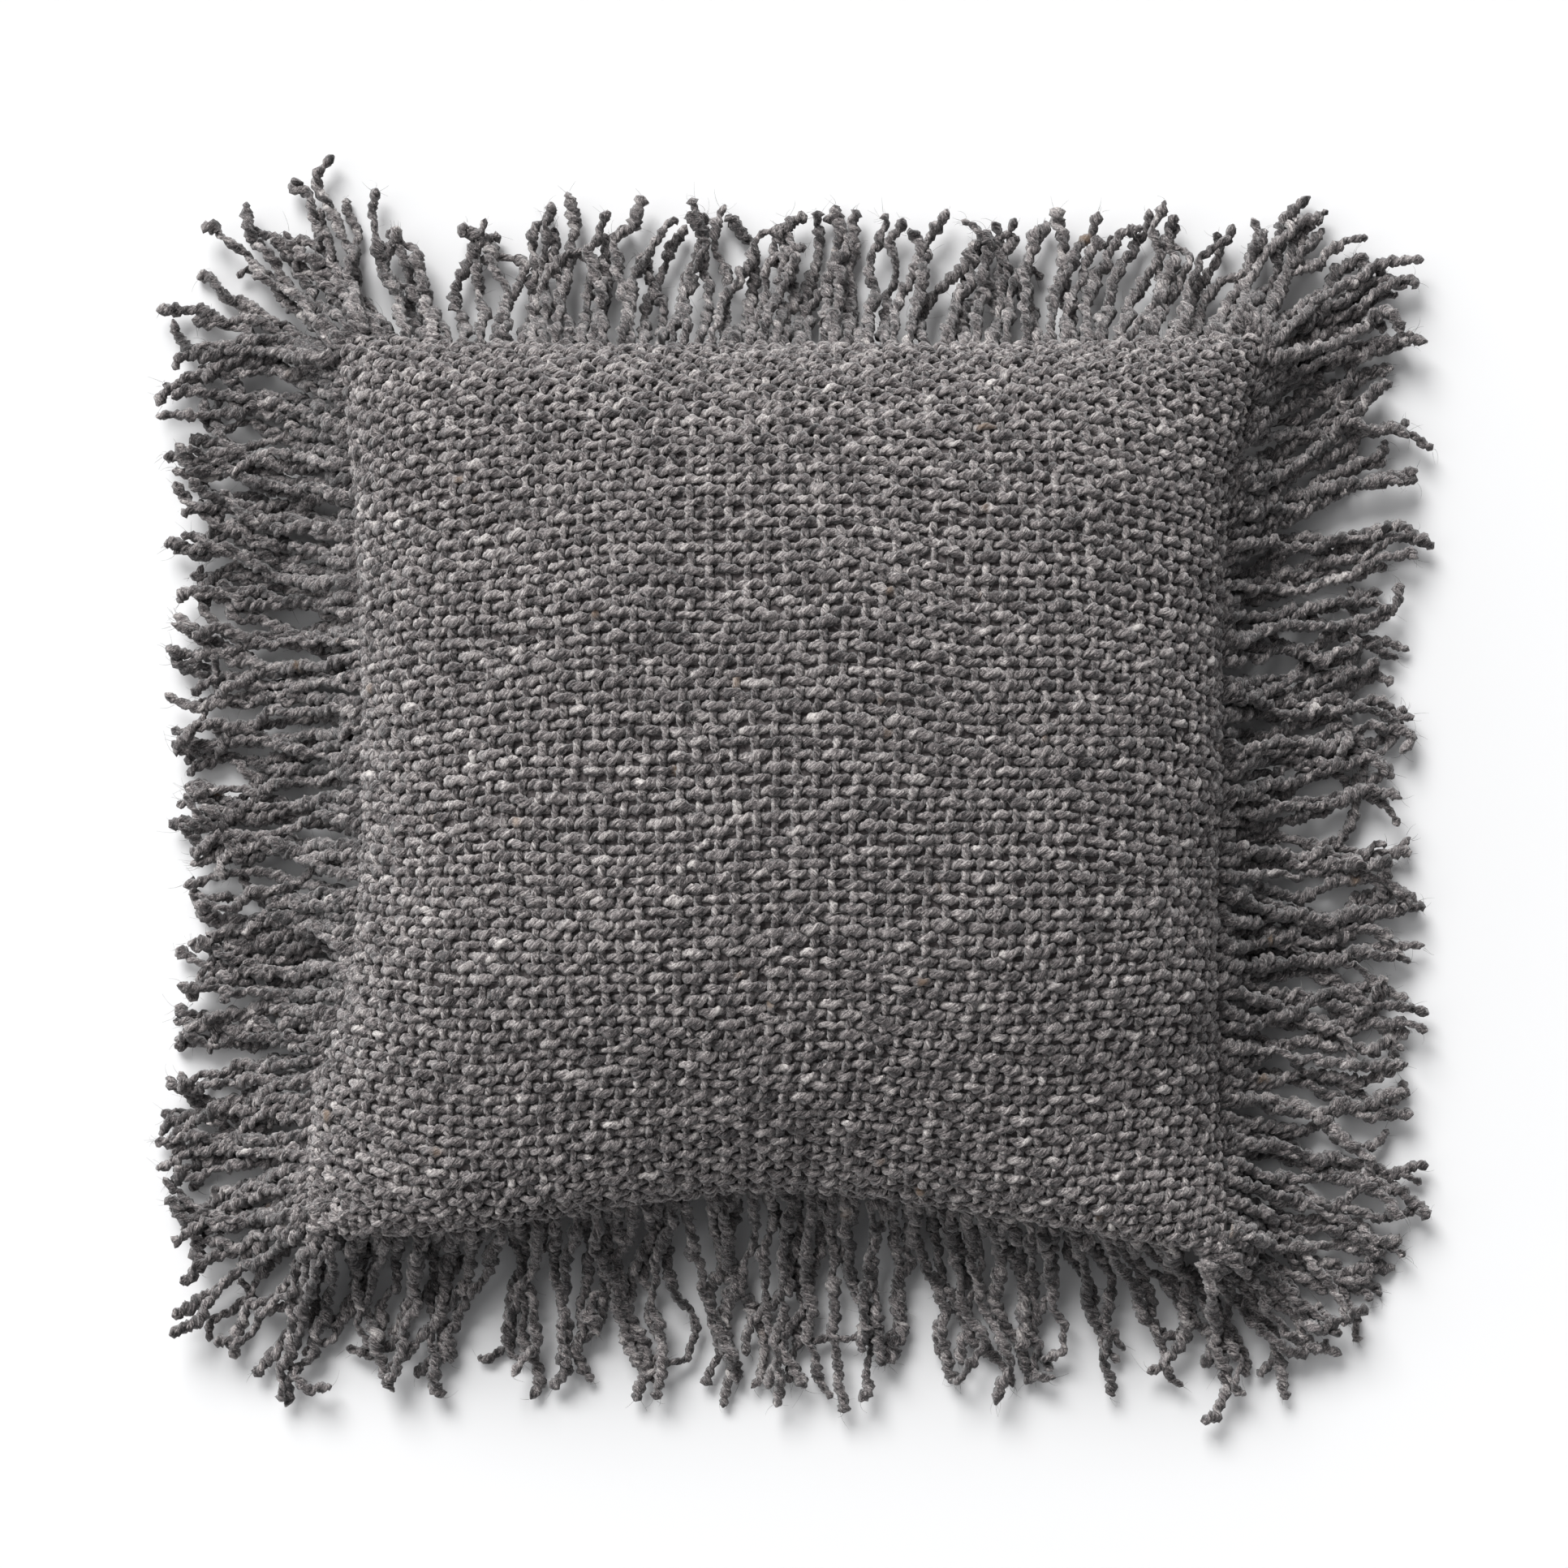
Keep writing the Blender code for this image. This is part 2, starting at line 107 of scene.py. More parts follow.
camera = bpy.data.objects.new("camera", bpy.data.cameras.new("camera"))
camera.location = (0.0, 0.0, CAMERA_HEIGHT)
camera.data.sensor_width = SENSOR
camera.data.lens = SENSOR * CAMERA_HEIGHT / VIEW_WIDTH
bpy.context.collection.objects.link(camera)
bpy.context.scene.camera = camera


# --- The insert -----------------------------------------------------------------------------------
# A cotton casing stuffed with polyester fibre. It gives the pillow its form, so the whole form is
# settled here: the sewn outline, blown up as cloth, and the cover is laid over it afterwards.

GRID = 60                    # cells across the form while it is cloth
FINE = 180                   # and once it is evened out
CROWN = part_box("cover_front_panel")[1][2]
SEAM = 0.052
WEAVE = 0.0030               # half the thickness of the woven cover
START_RISE = 0.985           # of the crown's height, before it is blown up
SWELL_MOST = 0.026
SWELL_STEPS = 20             # frames of cloth
ZIP_PLACE = Vector((0.0, -0.1915, 0.033326))
ZIP_TILT = radians(-23.9589)
ZIP_FALL = 0.44435           # slope of the back where the zip lies
RAMP = 0.115
LOW_SHARE = 0.3              # of the height, from the lower seam, that the zip's slope bends
OVERHANG = 0.009             # of the face over the lower seam
SEAM_PULL = 2.7              # how square the crown is
HALF_SPAN = 0.235            # from the middle to a side
HELD_BAND = 0.03             # of the back, either side of the zip, that stays where it is sewn
LIFT_BAND = 0.03             # of height, above and below the zip, where the insert makes room

# Where the seam runs, as points (along, out) on each side
OUTLINE = {
    "left": ((-0.2438, -0.2580), (-0.1696, -0.2540), (-0.1203, -0.2375), (0.0, -0.2270),
             (0.1554, -0.2318), (0.2424, -0.2402)),
    "right": ((-0.2544, 0.2398), (-0.1092, 0.2327), (0.0, 0.2353), (0.1554, 0.2406),
              (0.2438, 0.2593)),
    "bottom": ((-0.2580, -0.2438), (-0.1909, -0.2400), (-0.1279, -0.2310), (0.0, -0.2185),
               (0.1368, -0.2345), (0.2398, -0.2544)),
    "top": ((-0.2402, 0.2424), (-0.12, 0.2375), (0.0, 0.2370), (0.13, 0.2380), (0.2593, 0.2438)),
}


def through(points, share):
    """A smooth line through a few points, read at shares from 0 to 1 of its length along."""
    along = np.array([p[0] for p in points])
    out = np.array([p[1] for p in points])
    place = along[0] + (along[-1] - along[0]) * share
    slope = np.gradient(out, along)
    k = np.clip(np.searchsorted(along, place) - 1, 0, len(along) - 2)
    width = along[k + 1] - along[k]
    t = (place - along[k]) / width
    return place, (
        (2 * t**3 - 3 * t**2 + 1) * out[k]
        + (t**3 - 2 * t**2 + t) * width * slope[k]
        + (3 * t**2 - 2 * t**3) * out[k + 1]
        + (t**3 - t**2) * width * slope[k + 1]
    )


def plan(u, v):
    """Where (u, v), each from 0 to 1, lies in plan, blended from the four sides."""
    bx, by = through(OUTLINE["bottom"], u)
    tx, ty = through(OUTLINE["top"], u)
    ly, lx = through(OUTLINE["left"], v)
    ry, rx = through(OUTLINE["right"], v)
    blend = []
    for low, high, left, right, axis in ((bx, tx, lx, rx, 0), (by, ty, ly, ry, 1)):
        corner = [OUTLINE["bottom"][0][axis], OUTLINE["bottom"][-1][axis]]
        corner += [OUTLINE["top"][0][axis], OUTLINE["top"][-1][axis]]
        blend.append(
            (1 - v) * low + v * high + (1 - u) * left + u * right
            - (1 - u) * (1 - v) * corner[0] - u * (1 - v) * corner[1]
            - (1 - u) * v * corner[2] - u * v * corner[3]
        )
    return blend


def bulge(t):
    """How high the crown stands, from 0 to 1, with t from -1 to 1 across it."""
    return np.sqrt(np.clip(1 - np.abs(t) ** SEAM_PULL, 0, None))


def form(side, cells):
    """The cover's middle surface before it is blown up, as an array of points."""
    line = 0.5 + 0.5 * np.sin((np.linspace(0, 1, cells + 1) - 0.5) * pi)
    u, v = np.meshgrid(line, line, indexing="ij")
    x, y = plan(u, v)
    fall = ZIP_PLACE.z - (y - ZIP_PLACE.y) * ZIP_FALL
    low = np.clip((LOW_SHARE - v) / LOW_SHARE, 0, 1)
    low = low * low * (3 - 2 * low)
    seam = SEAM + (fall - SEAM) * low
    if side == "face":
        rise = bulge(2 * u - 1) * bulge(2 * v - 1)
        z = seam + (CROWN * START_RISE - WEAVE - SEAM) * rise
        y = y - OVERHANG * low * np.sin(pi * np.clip(rise / 0.85, 0, 1))
    else:
        inward = np.minimum(np.minimum(u, 1 - u), 1 - v) * 2 * HALF_SPAN
        share = np.clip(1 - inward / RAMP, 0, 1) ** 1.25
        others = WEAVE + (seam - WEAVE) * share
        z = np.maximum(others, np.maximum(fall + WEAVE * 1.09, WEAVE))
        z = np.where(v > 0.5, others, z)
        edge = (u == 0) | (u == 1) | (v == 0) | (v == 1)
        z = np.where(edge, seam, z)
    return np.stack([x, y, z], axis=-1)


def evened(points, cells):
    """The same surface with its lines evenly apart along it, as threads are in cloth."""
    for axis in (0, 1, 0, 1):
        lines = np.moveaxis(points, axis, 0)
        step = np.linalg.norm(np.diff(lines, axis=0), axis=-1)
        length = np.concatenate([np.zeros((1,) + step.shape[1:]), np.cumsum(step, axis=0)])
        length /= length[-1]
        want = np.linspace(0, 1, cells + 1)
        fresh = np.empty((cells + 1,) + lines.shape[1:])
        for k in range(lines.shape[1]):
            for d in range(3):
                fresh[:, k, d] = np.interp(want, length[:, k], lines[:, k, d])
        points = np.moveaxis(fresh, 0, axis)
    return points


def shell(name, face, back):
    """A closed mesh of a face grid and a back grid that share their edge."""
    cells = face.shape[0] - 1
    bm = bmesh.new()
    for grid, flip in ((face, False), (back, True)):
        made = bmesh.ops.create_grid(bm, x_segments=cells, y_segments=cells, size=1.0)["verts"]
        for vert in made:
            i = round((vert.co.x + 1) / 2 * cells)
            j = round((vert.co.y + 1) / 2 * cells)
            vert.co = grid[i, j]
        if flip:
            faces = list({f for vert in made for f in vert.link_faces})
            bmesh.ops.reverse_faces(bm, faces=faces)
    bmesh.ops.remove_doubles(bm, verts=bm.verts[:], dist=1e-5)
    mesh = bpy.data.meshes.new(name)
    bm.to_mesh(mesh)
    bm.free()
    mesh.shade_smooth()
    made = bpy.data.objects.new(name, mesh)
    bpy.context.collection.objects.link(made)
    return made


def blown_up(face, back):
    """Blows the sewn form up as cloth, held along its seam and along the zip."""
    cells = face.shape[0] - 1
    cushion = shell("form", face, back)
    rest = np.empty(len(cushion.data.vertices) * 3)
    cushion.data.vertices.foreach_get("co", rest)
    rest = rest.reshape(-1, 3)
    held = cushion.vertex_groups.new(name="held")
    rim = np.concatenate([face[0], face[-1], face[:, 0], face[:, -1]])
    seam = {tuple(np.round(p, 5)) for p in rim}
    keep = [k for k, p in enumerate(rest) if tuple(np.round(p, 5)) in seam]
    held.add(keep, 1.0, "REPLACE")
    near = [k for k, p in enumerate(rest) if p[2] < SEAM * 0.98
            and abs(p[1] - ZIP_PLACE.y) < HELD_BAND]
    held.add(near, 1.0, "REPLACE")
    cloth = cushion.modifiers.new("cloth", "CLOTH")
    cloth.settings.quality = 6
    cloth.settings.use_pressure = True
    cloth.settings.uniform_pressure_force = 6.0
    cloth.settings.vertex_group_mass = "held"
    cloth.settings.effector_weights.gravity = 0.0
    cloth.settings.bending_stiffness = 1.0
    cloth.point_cache.frame_start = 1
    cloth.point_cache.frame_end = SWELL_STEPS
    for step in range(1, SWELL_STEPS + 1):
        bpy.context.scene.frame_set(step)
    seen = cushion.evaluated_get(bpy.context.evaluated_depsgraph_get())
    now = np.empty(len(rest) * 3)
    seen.data.vertices.foreach_get("co", now)
    now = now.reshape(-1, 3)
    moved = now - rest
    far = np.linalg.norm(moved, axis=1)
    moved *= (np.minimum(far, SWELL_MOST) / np.maximum(far, 1e-9))[:, None]
    place = {tuple(np.round(p, 5)): q for p, q in zip(rest, rest + moved)}
    grids = []
    for grid in (face, back):
        grids.append(np.array([[place[tuple(np.round(p, 5))] for p in row] for row in grid]))
    bpy.context.scene.frame_set(1)
    bpy.data.objects.remove(cushion, do_unlink=True)
    return grids


# rounded as a mesh rounds them, so that points can be found again by their place
face_form = form("face", GRID).astype(np.float32).astype(float)
back_form = form("back", GRID).astype(np.float32).astype(float)
face_form, back_form = blown_up(face_form, back_form)
back_form[..., 2] = np.maximum(back_form[..., 2], WEAVE)
face_form = evened(face_form, FINE)
back_form = evened(back_form, FINE)
back_form[0], back_form[-1] = face_form[0], face_form[-1]
back_form[:, 0], back_form[:, -1] = face_form[:, 0], face_form[:, -1]


def normals(grid, turned=1.0):
    """The way out of the form at each point of a grid."""
    across = np.gradient(grid, axis=0)
    up = np.gradient(grid, axis=1)
    n = np.cross(across, up) * turned
    return n / np.maximum(np.linalg.norm(n, axis=-1, keepdims=True), 1e-12)


def read(grid, a, b):
    """The grid's value at shares a and b, each from 0 to 1."""
    cells = grid.shape[0] - 1
    x = np.clip(a, 0, 1) * cells
    y = np.clip(b, 0, 1) * cells
    i = np.minimum(x.astype(int), cells - 1)
    j = np.minimum(y.astype(int), cells - 1)
    x = (x - i)[..., None]
    y = (y - j)[..., None]
    return (
        grid[i, j] * (1 - x) * (1 - y) + grid[i + 1, j] * x * (1 - y)
        + grid[i, j + 1] * (1 - x) * y + grid[i + 1, j + 1] * x * y
    )


face_out = normals(face_form)
back_out = normals(back_form, -1.0)


def shrunk(grid, plan_share, height_share, lift=0.0):
    """The form made smaller towards its seam's plane, for what lies inside the cover."""
    inner = grid.copy()
    inner[..., :2] *= plan_share
    inner[..., 2] = SEAM + (inner[..., 2] - SEAM) * height_share
    inner[..., 2] += lift * np.clip(1 - np.abs(grid[..., 2] - ZIP_PLACE.z) / LIFT_BAND, 0, 1)
    return inner


# --- The wool -------------------------------------------------------------------------------------
# Undyed grey wool in mixed shades, spun and plied by hand: dark, pale and a few rusty fibres lie
# side by side along the twist, and every ply has its own shade.


class Sum:
    """A shader socket that Python's operators work on."""

    def __init__(self, tree, socket):
        self.tree = tree
        self.socket = socket

    def maths(self, operation, other):
        return node(self.tree, "ShaderNodeMath", {"operation": operation}, {0: self, 1: other})

    def __add__(self, other):
        return self.maths("ADD", other)

    def __sub__(self, other):
        return self.maths("SUBTRACT", other)

    def __rsub__(self, other):
        return node(self.tree, "ShaderNodeMath", {"operation": "SUBTRACT"}, {0: other, 1: self})

    def __mul__(self, other):
        return self.maths("MULTIPLY", other)

    __radd__ = __add__
    __rmul__ = __mul__


def node(tree, kind, settings=None, values=None, out=0):
    """Adds a node: its settings first, then values or links for its sockets."""
    made = tree.nodes.new(kind)
    for name, value in (settings or {}).items():
        if name == "stops":
            ramp = made.color_ramp
            while len(ramp.elements) > 1:
                ramp.elements.remove(ramp.elements[-1])
            for k, (place, colour) in enumerate(value):
                stop = ramp.elements[0] if k == 0 else ramp.elements.new(place)
                stop.position = place
                stop.color = (*colour, 1.0)
        else:
            setattr(made, name, value)
    for name, value in (values or {}).items():
        if isinstance(value, Sum):
            tree.links.new(value.socket, made.inputs[name])
        else:
            made.inputs[name].default_value = value
    return Sum(tree, made.outputs[out])


def finish(name, roughness=0.8, sheen=0.0, specular=0.3, metallic=0.0):
    """A material whose shader has these settings, its node tree, and its shader."""
    made = bpy.data.materials.new(name)
    made.use_nodes = True
    shader = made.node_tree.nodes["Principled BSDF"]
    shader.inputs["Roughness"].default_value = roughness
    shader.inputs["Metallic"].default_value = metallic
    shader.inputs["Sheen Weight"].default_value = sheen
    shader.inputs["Sheen Roughness"].default_value = 0.5
    shader.inputs["Specular IOR Level"].default_value = specular
    return made, made.node_tree, shader


def noise(tree, place, scale, detail, **more):
    return node(tree, "ShaderNodeTexNoise", {}, {
        "Vector": place, "Scale": scale, "Detail": detail, **more})


def coloured(tree, shader, stops, value):
    """The shader takes its colour from these stops, by a value over the surface."""
    ramp = node(tree, "ShaderNodeValToRGB", {"stops": stops}, {"Fac": value})
    tree.links.new(ramp.socket, shader.inputs["Base Color"])


def raised(tree, shader, strength, distance, height):
    """The shader's surface stands up by a height over the surface."""
    bump = node(tree, "ShaderNodeBump", {}, {
        "Strength": strength, "Distance": distance, "Height": height})
    tree.links.new(bump.socket, shader.inputs["Normal"])


FIBRE_FINE = 1150.0          # streaks across a ply, per metre
FIBRE_LONG = 260.0           # and along it
MOTTLE = 420.0
FIBRE_CONTRAST, MOTTLE_CONTRAST = 2.2, 1.1
WOOL_SHADES = (
    (0.00, (0.0117, 0.0099, 0.0104)),
    (0.22, (0.0632, 0.0559, 0.0565)),
    (0.45, (0.1755, 0.1564, 0.1558)),
    (0.66, (0.351, 0.3195, 0.315)),
    (0.84, (0.5499, 0.5103, 0.4945)),
    (1.00, (0.72, 0.6831, 0.6548)),
)
RUST = (0.26, 0.16, 0.085)


def wool(name, lift=0.0):
    """Heather wool. lift makes it paler or darker as a whole."""
    made, tree, shader = finish(name, 0.92, sheen=0.55, specular=0.15)
    spun = node(tree, "ShaderNodeAttribute", {"attribute_name": "spun"}, out=1)
    # shade holds each ply's heather tone plus painted shade in the grooves between plies.
    shade = node(tree, "ShaderNodeAttribute", {"attribute_name": "shade"}, out=2)
    rusty = node(tree, "ShaderNodeAttribute", {"attribute_name": "rusty"}, out=2)
    drawn = node(tree, "ShaderNodeMapping", {}, {
        "Vector": spun, "Scale": (FIBRE_LONG, FIBRE_FINE, FIBRE_FINE)})
    fibres = noise(tree, drawn, 1.0, 3.0, Roughness=0.65)
    mottle = noise(tree, spun, MOTTLE, 2.0)
    value = shade + (fibres - 0.5) * FIBRE_CONTRAST + (mottle - 0.5) * MOTTLE_CONTRAST + lift
    greys = node(tree, "ShaderNodeValToRGB", {"stops": WOOL_SHADES}, {"Fac": value})
    colour = node(tree, "ShaderNodeMix", {"data_type": "RGBA"}, {
        "Factor": rusty * fibres, "A": greys, "B": (*RUST, 1.0)}, out=2)
    tree.links.new(colour.socket, shader.inputs["Base Color"])
    raised(tree, shader, 1.0, 0.0009, fibres)
    return made


# --- The front of the cover -----------------------------------------------------------------------
# A plain weave by hand: 56 thin warp ends and 90 thick two-ply weft picks. Each is a yarn of its
# own that goes over and under the others.

WARP_ENDS, WEFT_PICKS = 56, 90
LAY, WARP_LAY = 0.0140, 0.011  # of the two plies, for a whole turn
WEFT_R, WARP_R = 0.0031, 0.0027
WEFT_CRIMP, WARP_CRIMP = 0.0018, 0.0017
WEFT_RINGS, WARP_RINGS = 370, 310
WEFT_SIDES, WARP_SIDES = 8, 7
YARN_LENGTH = 0.51           # from seam to seam over the crown
PLIES = (0.57, 0.43)         # a ply's radius and its middle's distance, as shares of the yarn's
FLOOR_GAP = 0.0003           # left under whatever lies on the table
SKEW = np.zeros((10, 10, 2))  # how the threads bow, in threads
SKEW[1:-1, 1:-1] = chance.normal(size=(8, 8, 2)) * 0.45


def bowed(a, b, way):
    """Moves thread lines a little sideways, whole areas at a time."""
    shift = read(SKEW, a, b)[..., way]
    return shift / (WARP_ENDS, WEFT_PICKS)[way]


def wander(rows, count, knots):
    """Smooth chance lines, one a row, with a spread of about 1."""
    values = chance.normal(size=(rows, knots + 2))
    t = np.linspace(0, knots, count)
    k = np.minimum(t.astype(int), knots)
    t = t - k
    t = t * t * (3 - 2 * t)
    return (values[:, k] * (1 - t) + values[:, k + 1] * t) * 1.25


def shades(rows, rings, length, lump):
    """A shade for each of two plies along each yarn, heather with a few pale slubs, and its rust."""
    knots = int(length / lump)
    parts = []
    for _ in range(2):
        base = 0.45 + 0.105 * wander(rows, rings, knots)
        base = base + 0.035 * wander(rows, rings, knots // 6 + 2)
        pale = wander(rows, rings, knots)
        slub = 0.25 * np.clip(pale - 2.2, 0, 0.8) + 0.32 * np.clip((pale - 2.75) * 4, 0, 1)
        parts.append(base + slub)
    rust = np.clip(wander(rows, rings, knots) - 3.1, 0, 1) * 1.6
    return parts, np.clip(rust, 0, 1)


def tubes(name, rows, rings, sides):
    """A mesh of closed tubes, rows of them, with each vertex's ring and side."""
    bm = bmesh.new()
    bmesh.ops.create_grid(bm, x_segments=rings - 1, y_segments=sides, size=1.0)
    for vert in bm.verts:
        turn = vert.co.y * pi
        vert.co = (vert.co.x * rings, cos(turn), sin(turn))
    bmesh.ops.remove_doubles(bm, verts=bm.verts[:], dist=1e-4)
    bmesh.ops.holes_fill(bm, edges=[e for e in bm.edges if e.is_boundary], sides=sides)
    bmesh.ops.recalc_face_normals(bm, faces=bm.faces[:])
    if bm.calc_volume(signed=True) < 0:
        bmesh.ops.reverse_faces(bm, faces=bm.faces[:])
    one = bpy.data.meshes.new("one_" + name)
    bm.to_mesh(one)
    bm.free()
    co = np.empty(len(one.vertices) * 3, dtype=np.float32)
    one.vertices.foreach_get("co", co)
    co = co.reshape(-1, 3)
    ring = np.round((co[:, 0] / rings + 1) / 2 * (rings - 1)).astype(int)
    side = np.round(np.arctan2(co[:, 2], co[:, 1]) / (2 * pi) * sides).astype(int) % sides
    many = bmesh.new()
    for _ in range(rows):
        many.from_mesh(one)
    mesh = bpy.data.meshes.new(name)
    many.to_mesh(mesh)
    many.free()
    bpy.data.meshes.remove(one)
    mesh.shade_smooth()
    return mesh, ring, side


def in_pillow(name, mesh, look):
    """An object of this mesh that belongs to the pillow."""
    mesh.materials.append(look)
    made = bpy.data.objects.new(name, mesh)
    bpy.context.collection.objects.link(made)
    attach(made, "pillow")
    return made


def spin_yarns(name, middle, out, radius, width, height, sides, look, plies, rust, lay=LAY,
               ply=PLIES):
    """Makes yarns along the lines of middle (row, ring, xyz), two plies each, out being the way
    that their upper side faces. radius is an array (row, ring); width and height flatten them."""
    rows, rings = middle.shape[:2]
    mesh, ring, side = tubes(name, rows, rings, sides)
    ahead = np.gradient(middle, axis=1)
    step = np.linalg.norm(ahead, axis=-1, keepdims=True)
    ahead = ahead / np.maximum(step, 1e-9)
    out = out - ahead * np.sum(out * ahead, axis=-1, keepdims=True)
    out = out / np.maximum(np.linalg.norm(out, axis=-1, keepdims=True), 1e-9)
    across = np.cross(out, ahead)
    along = np.cumsum(step[..., 0], axis=1)
    start = chance.uniform(0, 2 * pi, size=(rows, 1))
    turn = start - 2 * pi * along / lay + 0.5 * wander(rows, rings, max(4, rings // 40))
    share = side / sides
    angle = -pi / 2 + 2 * pi * (share + 0.42 / (2 * pi) * np.sin(2 * pi * share))
    phase = angle[None, :] - turn[:, ring]
    lobe = ply[1] * np.abs(np.cos(phase)) + np.sqrt(ply[0] ** 2 - (ply[1] * np.sin(phase)) ** 2)
    size = radius[:, ring] * lobe
    place = (
        middle[:, ring]
        + across[:, ring] * (size * np.cos(angle) * width)[..., None]
        + out[:, ring] * (size * np.sin(angle) * height)[..., None]
    )
    place[..., 2] = np.maximum(place[..., 2], FLOOR_GAP)
    mesh.vertices.foreach_set("co", place.astype(np.float32).ravel())
    first = np.cos(phase) > 0
    shade = np.where(first, plies[0][:, ring], plies[1][:, ring])
    # Painted shade: the grooves between the plies are darker, the ply crests a little paler.
    shade = shade + 0.10 * (lobe - 0.8)
    spun = np.stack([
        along[:, ring] + chance.uniform(0, 40, size=(rows, 1)),
        size * np.cos(phase),
        size * np.sin(phase),
    ], axis=-1)
    mesh.attributes.new("spun", "FLOAT_VECTOR", "POINT").data.foreach_set(
        "vector", spun.astype(np.float32).ravel())
    mesh.attributes.new("shade", "FLOAT", "POINT").data.foreach_set(
        "value", shade.astype(np.float32).ravel())
    mesh.attributes.new("rusty", "FLOAT", "POINT").data.foreach_set(
        "value", rust[:, ring].astype(np.float32).ravel())
    mesh.update()
    return in_pillow(name, mesh, look)


woven = wool("grey_heather_wool")


def front_weft(name, picks):
    """Weft picks, by number, laid over and under the warp."""
    rows, rings = len(picks), WEFT_RINGS
    a = np.broadcast_to(np.linspace(0, 1, rings), (rows, rings))
    b = ((picks + 0.5) / WEFT_PICKS)[:, None] + 0.10 / WEFT_PICKS * wander(rows, rings, 60)
    wave = np.cos(pi * (a * WARP_ENDS - 0.5 + picks[:, None]))
    a, b = a + bowed(a, b, 0), b + bowed(a, b, 1)
    lift = np.tanh(0.8 * wave) / np.tanh(0.8)
    rough = 1 + 0.22 * wander(rows, rings, 70)
    out = read(face_out, a, b)
    middle = read(face_form, a, b) + out * (
        WEFT_CRIMP * lift * rough + 0.00035 * wander(rows, rings, 45))[..., None]
    radius = WEFT_R * (1 + 0.13 * wander(rows, rings, 55) + 0.13 * wave)
    radius = np.clip(radius, WEFT_R * 0.6, WEFT_R * 1.45)
    plies, rust = shades(rows, rings, YARN_LENGTH, 0.008)
    return spin_yarns(name, middle, out, radius, 1.04, 0.84, WEFT_SIDES, woven, plies, rust)


def front_warp(name, ends):
    """Warp ends, by number, each over where the weft goes under it."""
    rows, rings = len(ends), WARP_RINGS
    b = np.broadcast_to(np.linspace(0, 1, rings), (rows, rings))
    a = ((ends + 0.5) / WARP_ENDS)[:, None] + 0.05 / WARP_ENDS * wander(rows, rings, 60)
    wave = -np.cos(pi * (b * WEFT_PICKS - 0.5 + ends[:, None]))
    a, b = a + bowed(a, b, 0), b + bowed(a, b, 1)
    out = read(face_out, a, b)
    rough = 1 + 0.2 * wander(rows, rings, 90)
    middle = read(face_form, a, b) + out * (WARP_CRIMP * wave * rough)[..., None]
    radius = WARP_R * (1 + 0.12 * wander(rows, rings, 60) + 0.12 * wave)
    plies, rust = shades(rows, rings, YARN_LENGTH, 0.007)
    return spin_yarns(name, middle, out, radius, 1.0, 0.9, WARP_SIDES, woven, plies, rust,
                      lay=WARP_LAY)


WEFT_BANDS, WARP_BANDS = 6, 3
face_yarns = []
for k, picks in enumerate(np.array_split(np.arange(WEFT_PICKS), WEFT_BANDS)):
    face_yarns.append(front_weft(f"front_weft_{k + 1}", picks))
for k, ends in enumerate(np.array_split(np.arange(WARP_ENDS), WARP_BANDS)):
    face_yarns.append(front_warp(f"front_warp_{k + 1}", ends))


def shade_sheet_wool(name):
    """A darker sheet in the same greys: painted shade for the shade between the yarns."""
    made, tree, shader = finish(name, 0.95, sheen=0.2, specular=0.1)
    place = node(tree, "ShaderNodeTexCoord", out=3)
    shade_mottle = noise(tree, place, 900.0, 4.0)
    patch = noise(tree, place, 150.0, 2.0)
    # Painted shade: the sheet is 0.08 darker on the wool's ramp of greys.
    coloured(tree, shader, WOOL_SHADES, shade_mottle * 0.5 + patch * 0.3 - 0.08)
    raised(tree, shader, 0.6, 0.0005, shade_mottle)
    return made


# How deep under the yarns the painted shade sheet lies, and how thick it is.
SHADE_SHEET_DEPTH, SHADE_SHEET_THICK = 0.0012, 0.0012
painted_shade_wool = shade_sheet_wool("painted_shade_wool")


def shade_sheet(name, grid, out_grid, low=0.0, high=1.0, cells=(64, 64)):
    """A closed dark sheet under the yarns, painted shade that stands in for the shade between them.
    low and high are its edges, as one share of the cloth's height or as a line of them from left
    to right."""
    bm = bmesh.new()
    bmesh.ops.create_grid(bm, x_segments=cells[0], y_segments=cells[1], size=0.5)
    upper = bm.verts[:]
    walls = bmesh.ops.extrude_face_region(bm, geom=bm.faces[:])["geom"]
    lower = [g for g in walls if isinstance(g, bmesh.types.BMVert)]
    for verts, level in ((upper, SHADE_SHEET_DEPTH), (lower, SHADE_SHEET_DEPTH + SHADE_SHEET_THICK)):
        share = np.array([(v.co.x + 0.5, v.co.y + 0.5) for v in verts])
        a = share[:, 0]
        first = np.interp(a, np.linspace(0, 1, FINE + 1), np.full(FINE + 1, low))
        last = np.interp(a, np.linspace(0, 1, FINE + 1), np.full(FINE + 1, high))
        b = first + (last - first) * share[:, 1]
        place = read(grid, a, b) - read(out_grid, a, b) * level
        place[:, 2] = np.maximum(place[:, 2], FLOOR_GAP * 2)
        for vert, point in zip(verts, place):
            vert.co = point
    bmesh.ops.recalc_face_normals(bm, faces=bm.faces[:])
    mesh = bpy.data.meshes.new(name)
    bm.to_mesh(mesh)
    bm.free()
    mesh.shade_smooth()
    return in_pillow(name, mesh, painted_shade_wool)


# Painted shade: a dark sheet under the front yarns, where only shade lies between them.
front_painted_shade = shade_sheet("front_shade_sheet", face_form, face_out)
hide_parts("cover_front_panel")
for yarns in face_yarns:
    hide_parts("cover_front_panel")

# --- The fringe -----------------------------------------------------------------------------------
# Plied wool cords with their ends left loose, caught one by one in the seam. They droop to the table
# and lie there in clumps, over and beside each other.

